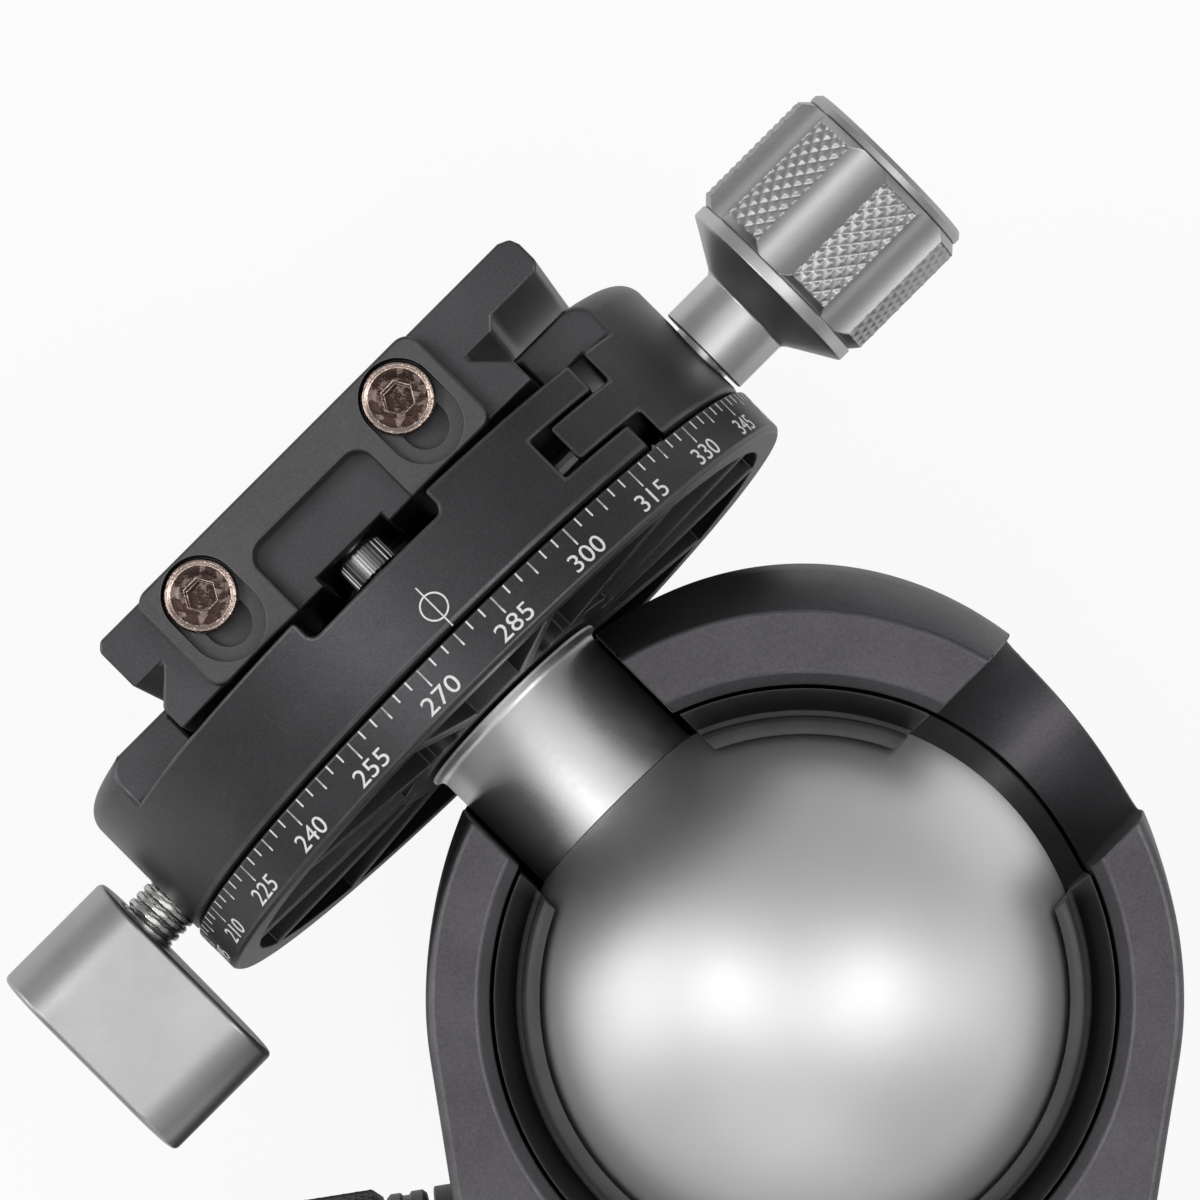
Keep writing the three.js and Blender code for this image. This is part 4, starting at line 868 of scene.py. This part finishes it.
def makeIndex():
    relief, half, steps = index["relief"], index["half"], index["steps"]
    r = clamp["outer"] + relief
    line = box(r - relief, r + relief, -half, half, *index["line"])
    shifted(line, Matrix.Rotation(index["angle"], 4, "Z"))
    points, faces = [], []
    for k in range(steps):
        a = turn * k / steps
        for radius in index["ringRadii"]:
            for lift in (-relief, relief):
                t = index["angle"] + radius * math.cos(a) / r
                height = index["ringHeight"] + radius * math.sin(a)
                points.append(((r + lift) * math.cos(t), (r + lift) * math.sin(t), height))
    for k in range(steps):
        b, n = 4 * k, 4 * ((k + 1) % steps)
        for p, q in ((0, 1), (1, 3), (3, 2), (2, 0)):
            faces.append((b + p, n + p, n + q, b + q))
    ring = fromFaces("ring", points, faces)
    placed(joined([line, ring], "index"), "pan_index", stemFrame, "clamp", white, smooth=False)


makeIndex()

# Screws with a real thread, which fades out at its ends
lockScrew = {"radius": 2.4, "ends": (12.9, 38.65), "thread": (12.9, 38.65), "pitch": 0.8, "depth": 0.32}
clampScrew = {"radius": 2.6, "ends": (11, 46), "thread": (11.5, 29.5), "pitch": 0.9, "depth": 0.3}
baseLockScrew = {"radius": 2.4, "ends": (16.6, 46.4), "thread": (17, 38), "pitch": 0.8, "depth": 0.3}
cameraStud = {"radius": 3.1, "ends": (49.1, 55.6), "thread": (49.1, 55.6), "pitch": 1.27, "depth": 0.42}


def threaded(screw, steps=48, rowsPerPitch=10, fadeLength=0.4):
    low, high = screw["ends"]
    start, end = screw["thread"]
    rows = max(2, int((high - low) / screw["pitch"] * rowsPerPitch))
    points, faces = [], []
    for j in range(rows + 1):
        z = low + (high - low) * j / rows
        fade = min(1.0, max(0.0, (z - start) / fadeLength)) * min(1.0, max(0.0, (end - z) / fadeLength))
        for i in range(steps):
            a = turn * i / steps
            t = abs(2 * (((z / screw["pitch"]) - i / steps) % 1.0) - 1)
            r = screw["radius"] - screw["depth"] * (1 - t * 2 if t < 0.5 else 0) * fade
            points.append((r * math.cos(a), r * math.sin(a), z))
    for j in range(rows):
        faces += band(j * steps, (j + 1) * steps, steps)
    faces.append(tuple(range(steps)))
    faces.append(tuple(rows * steps + i for i in range(steps)))
    return fromFaces("screw", points, faces)


placed(threaded(lockScrew), "lock_screw_thread", lockFrame, "clamp_lock", steel, ["clamp_lock_screw"])
placed(threaded(clampScrew), "clamp_screw_thread", clampKnobFrame, "clamp_knob", steel, ["clamp_screw"])
placed(threaded(baseLockScrew), "base_lock_thread", baseLockFrame, "base_lock", steel, ["base_lock_screw"])


# Knob grips, worked out as a radius for each angle and height
def gripRadius(grip, a, z):
    radius, edge, flutes = grip["radius"], grip["edge"], grip.get("flutes", 0)
    limit = radius
    for side in (z - grip["low"], grip["high"] - z):
        if side < edge:
            limit = min(limit, radius - edge + side)
    r = radius
    if flutes:
        start, deep = grip["fluteStart"], grip["fluteRadius"]
        centre = radius + deep - grip["fluteDepth"]
        k = round((a / turn) * flutes - start) + start
        d = a - k * turn / flutes
        s = centre * math.sin(d)
        if abs(s) < deep:
            r = min(radius, centre * math.cos(d) - math.sqrt(deep**2 - s * s))
    if radius - r <= 0.02 and edge < z - grip["low"] and edge < grip["high"] - z:
        count = grip["knurls"]
        u = a / turn * count
        v = (z - grip["low"]) / (turn * radius / count) * grip["knurlSlope"]
        p, q = abs(((u + v) % 1.0) * 2 - 1), abs(((u - v) % 1.0) * 2 - 1)
        r -= grip["knurlDepth"] * (1 - min(1.0, 1.2 * min(p, q)))
    return min(r, limit)


def gripSurface(grip):
    low, high, edge, steps, rows = grip["low"], grip["high"], grip["edge"], grip["steps"], grip["rows"]
    heights = [low + (high - low) * j / rows for j in range(rows + 1)]
    for share in (0.12, 0.25, 0.4, 0.55):
        heights += [low + edge * share, high - edge * share]
    heights = sorted(set(round(h, 4) for h in heights))
    points, faces = [], []
    for z in heights:
        for i in range(steps):
            a = turn * i / steps
            r = gripRadius(grip, a, z)
            points.append((r * math.cos(a), r * math.sin(a), z))
    last = len(heights) - 1
    for j in range(last):
        faces += band(j * steps, (j + 1) * steps, steps)
    # The ends: rings down to the bore and to the cap's seat
    seatRadius, seatHeight = grip["capSeat"]
    for r, z in ((grip["bore"], low), (grip["bore"], seatHeight), (seatRadius, seatHeight), (seatRadius, high)):
        points += circle(r, z, steps)
    order = [0] + [last + 1 + k for k in range(4)] + [last]
    for p, q in zip(order[:-1], order[1:]):
        faces += [(a, d, c, b) for a, b, c, d in band(p * steps, q * steps, steps)]
    return fromFaces("grip", points, faces)


clampKnob = {
    "radius": 8.62, "low": 38.3, "high": 49.8, "edge": 0.7, "flutes": 7, "fluteStart": 0.19, "fluteRadius": 3.2,
    "fluteDepth": 0.95, "knurls": 49, "knurlDepth": 0.2, "knurlSlope": 0.8, "bore": 2.9, "capSeat": (4.3, 46.7),
    "steps": 728, "rows": 104,
    "bell": [(2.9, 30.1), (3.9, 30.1), (4.0, 30.2), (4.0, 34.55), (4.1, 34.75), (4.35, 34.98), (5.3, 35.55)]
    + [(6.6, 36.32), (7.6, 36.9), (7.9, 37.08), (8.03, 37.2), (8.05, 37.3), (8.05, 38.15), (7.95, 38.25)]
    + [(2.9, 38.25)],
    "cap": [(0, 47), (4, 47), (4, 49.85), (7.85, 49.85), (7.95, 49.95), (7.95, 50.45), (7.6, 50.85)]
    + [(6.6, 50.85), (6.4, 50.72), (6.2, 50.65), (0, 50.65)],
}


def makeClampKnob():
    grip = gripSurface(clampKnob)
    placed(grip, "clamp_knob_knurl", clampKnobFrame, "clamp_knob", knobSilver, ["clamp_knob_grip"])
    bell = lathe("bell", clampKnob["bell"])
    placed(bell, "clamp_knob_bell", clampKnobFrame, "clamp_knob", bellSilver, ["clamp_knob_collar"])
    cap = lathe("cap", clampKnob["cap"])
    placed(cap, "clamp_knob_end", clampKnobFrame, "clamp_knob", knobSilver, ["clamp_knob_cap"])


makeClampKnob()

mainKnob = {
    "radius": 11.2, "low": 31.9, "high": 49, "edge": 0.9, "flutes": 10, "fluteStart": 0.5, "fluteRadius": 3.4,
    "fluteDepth": 1.1, "knurls": 84, "knurlDepth": 0.14, "knurlSlope": 0.8, "bore": 4.3, "capSeat": (8.7, 46.1),
    "steps": 504, "rows": 110,
    "collar": [(4.3, 28.4), (10.1, 28.4), (10.4, 28.7), (10.4, 29.6), (10.15, 29.8), (10.15, 30.3), (10.4, 30.5)]
    + [(10.4, 31.3), (10.1, 31.6), (4.3, 31.6)],
    "cap": [(0, 46.4), (8.4, 46.4), (8.4, 49.8), (8.0, 50.2), (6.6, 50.2), (6.3, 49.95), (6.0, 50.2), (0, 50.2)],
}


def makeMainKnob():
    grip = gripSurface(mainKnob)
    placed(grip, "main_knob_knurl", mainKnobFrame, "main_knob", clampBlack, ["main_knob_grip"])
    collar = lathe("collar", mainKnob["collar"], wide)
    placed(collar, "main_knob_band", mainKnobFrame, "main_collar", clampBlack, ["main_knob_collar"])
    cap = lathe("cap", mainKnob["cap"], wide)
    placed(cap, "main_knob_end", mainKnobFrame, "main_knob", knobSilver, ["main_knob_cap"])


makeMainKnob()

frictionKnob = {
    "radius": 8.6, "low": 28.4, "high": 38.4, "edge": 0.8, "knurls": 64, "knurlDepth": 0.16, "knurlSlope": 0.8,
    "bore": 3.3, "capSeat": (3.2, 36.3), "steps": 448, "rows": 80,
}
baseLockKnob = {
    "radius": 6.8, "low": 39.2, "high": 49.4, "edge": 0.7, "knurls": 52, "knurlDepth": 0.15, "knurlSlope": 0.8,
    "bore": 2.7, "capSeat": (2.6, 46.7), "steps": 416, "rows": 80,
}


def makeSmallKnobs():
    grip = gripSurface(frictionKnob)
    placed(grip, "friction_knob_knurl", frictionFrame, "friction_control", clampBlack, ["friction_knob"])
    grip = gripSurface(baseLockKnob)
    placed(grip, "base_lock_knurl", baseLockFrame, "base_lock", clampBlack, ["base_lock_knob"])


makeSmallKnobs()

paddle = {
    "head": 5, "tail": 4.2, "length": 9.8, "low": 32.65, "high": 43.4, "bore": 2.7, "boreEnd": 38.95,
    "edge": 0.45,
}


def makePaddle():
    head, tail, length = paddle["head"], paddle["tail"], paddle["length"]
    lean = math.degrees(math.asin((head - tail) / length))
    outline = arc(0, 0, head, -90 - lean, 90 + lean, 40) + arc(-length, 0, tail, 90 + lean, 270 - lean, 40)
    item = prism(outline, paddle["low"], paddle["high"], "paddle")
    combined(item, [disc(paddle["bore"], paddle["low"] - past, paddle["boreEnd"], small)])
    softened(item, paddle["edge"], 3, 30)
    placed(item, "lock_paddle", lockFrame, "clamp_lock", knobSilver, ["clamp_lock_paddle"])


makePaddle()
print("knobs made")

# Quick release plate and its two rubber strips
plate = {
    "outline": [
        (-18.8, 46.7), (-3.5, 46.7), (-3.5, 47.55), (3.5, 47.55), (3.5, 46.7), (18.8, 46.7), (18.8, 48.8),
        (16.5, 51.1), (16.5, 51.5), (19.3, 51.5), (20.1, 52.3), (24.85, 52.3), (25.45, 52.9), (25.45, 54.7),
        (25.15, 55.5), (24.25, 55.9), (-18.6, 55.9), (-19.2, 55.3), (-19.2, 51.5), (-16.5, 51.5), (-16.5, 51.1),
        (-18.8, 48.8),
    ],
    "halfLength": 23, "cameraBore": (3.4, 45.7, 56.9), "headBore": (6.9, 45.7, 52.8), "safetyOffset": 19,
    "safetyHeadBore": (2.35, 45.7, 47.7), "safetyBore": (1.55, 46.7, 51.3), "padOffset": 12,
    "padGroove": (2.7, 20.3, 54.7, 56.9),  # half width, half length, floor and top
    "barScrew": (10.6, 52.6), "barScrewBore": (1.8, 18.6, 24), "edge": 0.22,
}
pad = {
    "half": 2.4, "halfLength": 20, "low": 55.0, "high": 55.9, "grooves": 24, "firstGroove": -18.4,
    "groovePitch": 1.6, "grooveWidth": 0.5, "grooveReach": 2.5, "grooveFloor": 55.6, "grooveTop": 56.5,
    "edge": 0.08,
}


def makePlate():
    item = across(plate["outline"], -plate["halfLength"], plate["halfLength"], "plate")
    tools = [disc(*plate["cameraBore"]), disc(*plate["headBore"])]
    half, halfLength, floor, top = plate["padGroove"]
    offset, height = plate["barScrew"]
    for side in (-1, 1):
        safety = moved(0, plate["safetyOffset"] * side, 0)
        tools.append(shifted(disc(*plate["safetyHeadBore"], small), safety))
        tools.append(shifted(disc(*plate["safetyBore"], small), safety))
        middleLine = plate["padOffset"] * side
        tools.append(box(middleLine - half, middleLine + half, -halfLength, halfLength, floor, top))
        tools.append(shifted(disc(*plate["barScrewBore"], small), moved(offset * side, 0, height) @ front))
    combined(item, tools)
    softened(item, plate["edge"], 3, 30)
    placed(item, "plate_block", stemFrame, "plate", clampBlack, ["quick_release_plate"])


def makePad(side, word):
    centre, half, reach = plate["padOffset"] * side, pad["half"], pad["grooveReach"]
    strip = box(centre - half, centre + half, -pad["halfLength"], pad["halfLength"], pad["low"], pad["high"])
    grooves = []
    for k in range(pad["grooves"]):
        y = pad["firstGroove"] + pad["groovePitch"] * k
        sides = (centre - reach, centre + reach, y, y + pad["grooveWidth"])
        grooves.append(box(*sides, pad["grooveFloor"], pad["grooveTop"]))
    combined(strip, grooves)
    softened(strip, pad["edge"], 2)
    placed(strip, "pad_" + word, stemFrame, "plate", rubber, ["plate_pad_" + word])


makePlate()
makePad(-1, "left")
makePad(1, "right")

# Anti-twist stop bar: it slides on its two screws
stopBar = {
    "outline": (-14.8, 14.8, 46.4, 55.9, 1.4),  # left, right, low, high and corner
    "thickness": (23.3, 25.9), "window": (-6, 6, 44, 52.3, 1.4), "slot": 1.8, "counterbore": 3.05,
    "counterboreFloor": 24.4, "slotHeights": (49.8, 52.6), "toolEnds": (22, 27), "edge": 0.28, "slotEdge": 0.07,
}
barScrew = {
    "outline": [(0, 18.9), (1.5, 18.9), (1.5, 24.7), (2.7, 24.7), (2.85, 24.85), (2.85, 25.72), (2.68, 25.9)]
    + [(2.5, 25.9), (2.38, 25.8), (1.75, 25.8), (1.6, 25.88), (0, 25.88)],
    "hexagon": 1.3, "hexagonFloor": 24.75, "hexagonTop": 27, "edge": 0.08,
}


def makeStopBar():
    near, far = stopBar["toolEnds"]
    bar = across(roundedBox(*stopBar["outline"]), *stopBar["thickness"], "bar")
    combined(bar, [across(roundedBox(*stopBar["window"]), near, far)])
    softened(bar, stopBar["edge"], 4, 32)
    tools = []
    low, high = stopBar["slotHeights"]
    offset = plate["barScrew"][0]
    for x in (-offset, offset):
        for radius, start in ((stopBar["slot"], near), (stopBar["counterbore"], stopBar["counterboreFloor"])):
            slot = arc(x, low, radius, 180, 360, 24) + arc(x, high, radius, 0, 180, 24)
            tools.append(across(slot, start, far))
    combined(bar, tools)
    softened(bar, stopBar["slotEdge"], 2, 40)
    placed(bar, "stop_bar_block", stemFrame, "bar", barGrey, ["stop_bar"])


def makeBarScrew(side, word):
    offset, height = plate["barScrew"]
    screw = lathe("screw", barScrew["outline"])
    combined(screw, [prism(hexagon(barScrew["hexagon"]), barScrew["hexagonFloor"], barScrew["hexagonTop"])])
    softened(screw, barScrew["edge"], 2)
    place = stemFrame @ moved(offset * side, 0, height) @ front
    placed(screw, "bar_screw_" + word, place, "plate", copper, ["stop_bar_screw_" + word])


makeStopBar()
makeBarScrew(-1, "left")
makeBarScrew(1, "right")

# Safety screws under the plate, with a straight knurl
safetyScrew = {
    "outline": [(0, 44.9), (1.85, 44.9), (1.95, 45.0), (1.95, 46.9), (1.9, 47.1), (1.6, 47.4), (1.25, 47.4)]
    + [(1.25, 51), (0, 51)],
    "ribs": 24, "ribHeight": 0.05, "ribbedRadii": (1.9, 2.0), "hexagon": 1, "hexagonEnds": (43.9, 46.1),
    "steps": 192,
}


def ribbed(radius, a):
    low, high = safetyScrew["ribbedRadii"]
    if radius < low or radius > high:
        return radius
    return radius + safetyScrew["ribHeight"] * (1 if math.sin(a * safetyScrew["ribs"]) > 0 else -1)


def makeSafetyScrew(side, word):
    screw = lathe("screw", safetyScrew["outline"], safetyScrew["steps"], ribbed)
    combined(screw, [prism(hexagon(safetyScrew["hexagon"]), *safetyScrew["hexagonEnds"])])
    place = stemFrame @ moved(0, plate["safetyOffset"] * side, 0)
    placed(screw, "safety_" + word, place, "plate", knobSilver, ["safety_screw_" + word])


makeSafetyScrew(-1, "front")
makeSafetyScrew(1, "rear")

cameraScrew = {
    "head": [(0, 45.9), (5.8, 45.9), (6.1, 46.2), (6.1, 47.6), (5.8, 47.9), (2.4, 47.9), (2.4, 49.3), (0, 49.3)],
    "coinSlot": (-0.7, 0.7, -7, 7, 44.9, 46.8),
}


def makeCameraScrew():
    stud = threaded(cameraStud)
    head = lathe("head", cameraScrew["head"])
    combined(head, [box(*cameraScrew["coinSlot"])])
    combined(stud, [head], "UNION")
    placed(stud, "camera_stud", stemFrame, "screw", steel, ["camera_screw"])


makeCameraScrew()

base = {
    "outline": [
        (0, 0), (27.0, 0), (27.5, 0.5), (27.5, 7.6), (27.3, 7.75), (26.9, 7.8), (26.9, 8.7), (27.3, 8.75),
        (27.5, 8.9), (27.5, 10.5), (26.8, 11.2), (13, 11.2), (13, 17.2), (12.8, 17.4), (0, 17.4),
    ],
    "bushingBore": (7.7, -1, 10.7), "pivotBore": (4.3, 10.4, 18.4),
}


def makeBase():
    item = lathe("base", base["outline"], wide)
    combined(item, [disc(*base["bushingBore"]), disc(*base["pivotBore"], small)])
    placed(item, "base_plate", rowFrame, "base", clampBlack, ["pan_base"])


makeBase()
print("plate and base made")

# Inner pieces keep their CAD shape and get a finish
plain = {
    steel: ["pivot_bolt", "friction_screw", "main_lock_screw", "clamp_keeper", "clamp_bolt"]
    + ["jaw_spring", "friction_spring"],
    stemSteel: ["tripod_bushing", "guide_pin_front", "guide_pin_rear", "camera_screw_clip", "pressure_wedge"],
    brassy: ["lower_ball_cup", "base_brake_shoe", "clamp_brake_shoe"],
    polymer: ["thrust_washer", "friction_pad", "pan_friction_washer"],
}
for material, names in plain.items():
    for name in names:
        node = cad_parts[name]
        node.data.materials.clear()
        node.data.materials.append(material)

# Floor, lights and camera, in metres
floorStage = {"half": 3.0, "height": -0.0002, "color": (0.86, 0.86, 0.86), "rough": 0.9, "glow": 0.9, "gloss": 0.3}
lamps = {  # place, what it points at, width, height and watts
    "left": ((-0.5, 0.13, 0.85), (0, 0, 0.05), 0.2, 0.28, 1.0),
    "right": ((0.42, 0.1, 0.85), (0, 0, 0.05), 0.18, 0.26, 0.95),
    "above": ((0, -0.05, 1.15), (0, 0, 0.05), 2.4, 0.5, 4.8),
    "side": ((-0.85, 0.05, 0.32), (0, 0, 0.06), 0.6, 0.4, 1.5),
    "far": ((0.85, 0.0, 0.4), (0, 0, 0.06), 0.5, 0.4, 0.6),
    "low": ((-0.1, -0.8, 0.6), (0, 0, 0.05), 1.0, 0.5, 1.0),
}
sky = {"color": (0.9, 0.9, 0.92), "strength": 0.4}
view = {"sensor": 36, "lens": 306.5, "near": 0.05, "far": 10, "place": (-0.0158, 0.0308, 0.849)}


def makeFloor():
    floor = newObject("floor", bpy.data.meshes.new("floor"))
    work = bmesh.new()
    bmesh.ops.create_grid(work, x_segments=1, y_segments=1, size=floorStage["half"])
    work.to_mesh(floor.data)
    work.free()
    floor.location.z = floorStage["height"]
    kit = Finish("floor_white", Roughness=floorStage["rough"])
    tree = kit.tree
    kit.shader.inputs["Base Color"].default_value = rgb(*floorStage["color"])
    path = makeNode(tree, "ShaderNodeLightPath").outputs
    glow = makeNode(tree, "ShaderNodeEmission", {"Color": rgb(1, 1, 1), "Strength": 1.0})
    seen = Sum(tree, path["Is Camera Ray"]) + Sum(tree, path["Is Glossy Ray"]) * floorStage["gloss"]
    mix = makeNode(tree, "ShaderNodeMixShader", {"Fac": seen.capped(1.0) * floorStage["glow"]})
    tree.links.new(kit.shader.outputs[0], mix.inputs[1])
    tree.links.new(glow.outputs[0], mix.inputs[2])
    tree.links.new(mix.outputs[0], tree.nodes["Material Output"].inputs[0])
    floor.data.materials.append(kit.material)


def softbox(name, place, aim, width, height, power):
    lamp = bpy.data.lights.new(name, "AREA")
    lamp.shape = "RECTANGLE"
    lamp.size = width
    lamp.size_y = height
    lamp.energy = power
    item = newObject(name, lamp)
    item.location = place
    item.rotation_mode = "QUATERNION"
    item.rotation_quaternion = (Vector(aim) - Vector(place)).to_track_quat("-Z", "Y")


def makeSky():
    world = bpy.data.worlds.new("studio")
    world.use_nodes = True
    bpy.context.scene.world = world
    background = world.node_tree.nodes["Background"].inputs
    background[0].default_value = rgb(*sky["color"])
    background[1].default_value = sky["strength"]


def makeCamera():
    camera = bpy.data.cameras.new("camera")
    camera.sensor_width = view["sensor"]
    camera.lens = view["lens"]
    camera.clip_start = view["near"]
    camera.clip_end = view["far"]
    eye = newObject("camera", camera)
    eye.location = view["place"]
    bpy.context.scene.camera = eye


makeFloor()
for name, settings in lamps.items():
    softbox(name, *settings)
makeSky()
makeCamera()
bpy.context.scene.view_settings.view_transform = "Standard"

print("scene made")
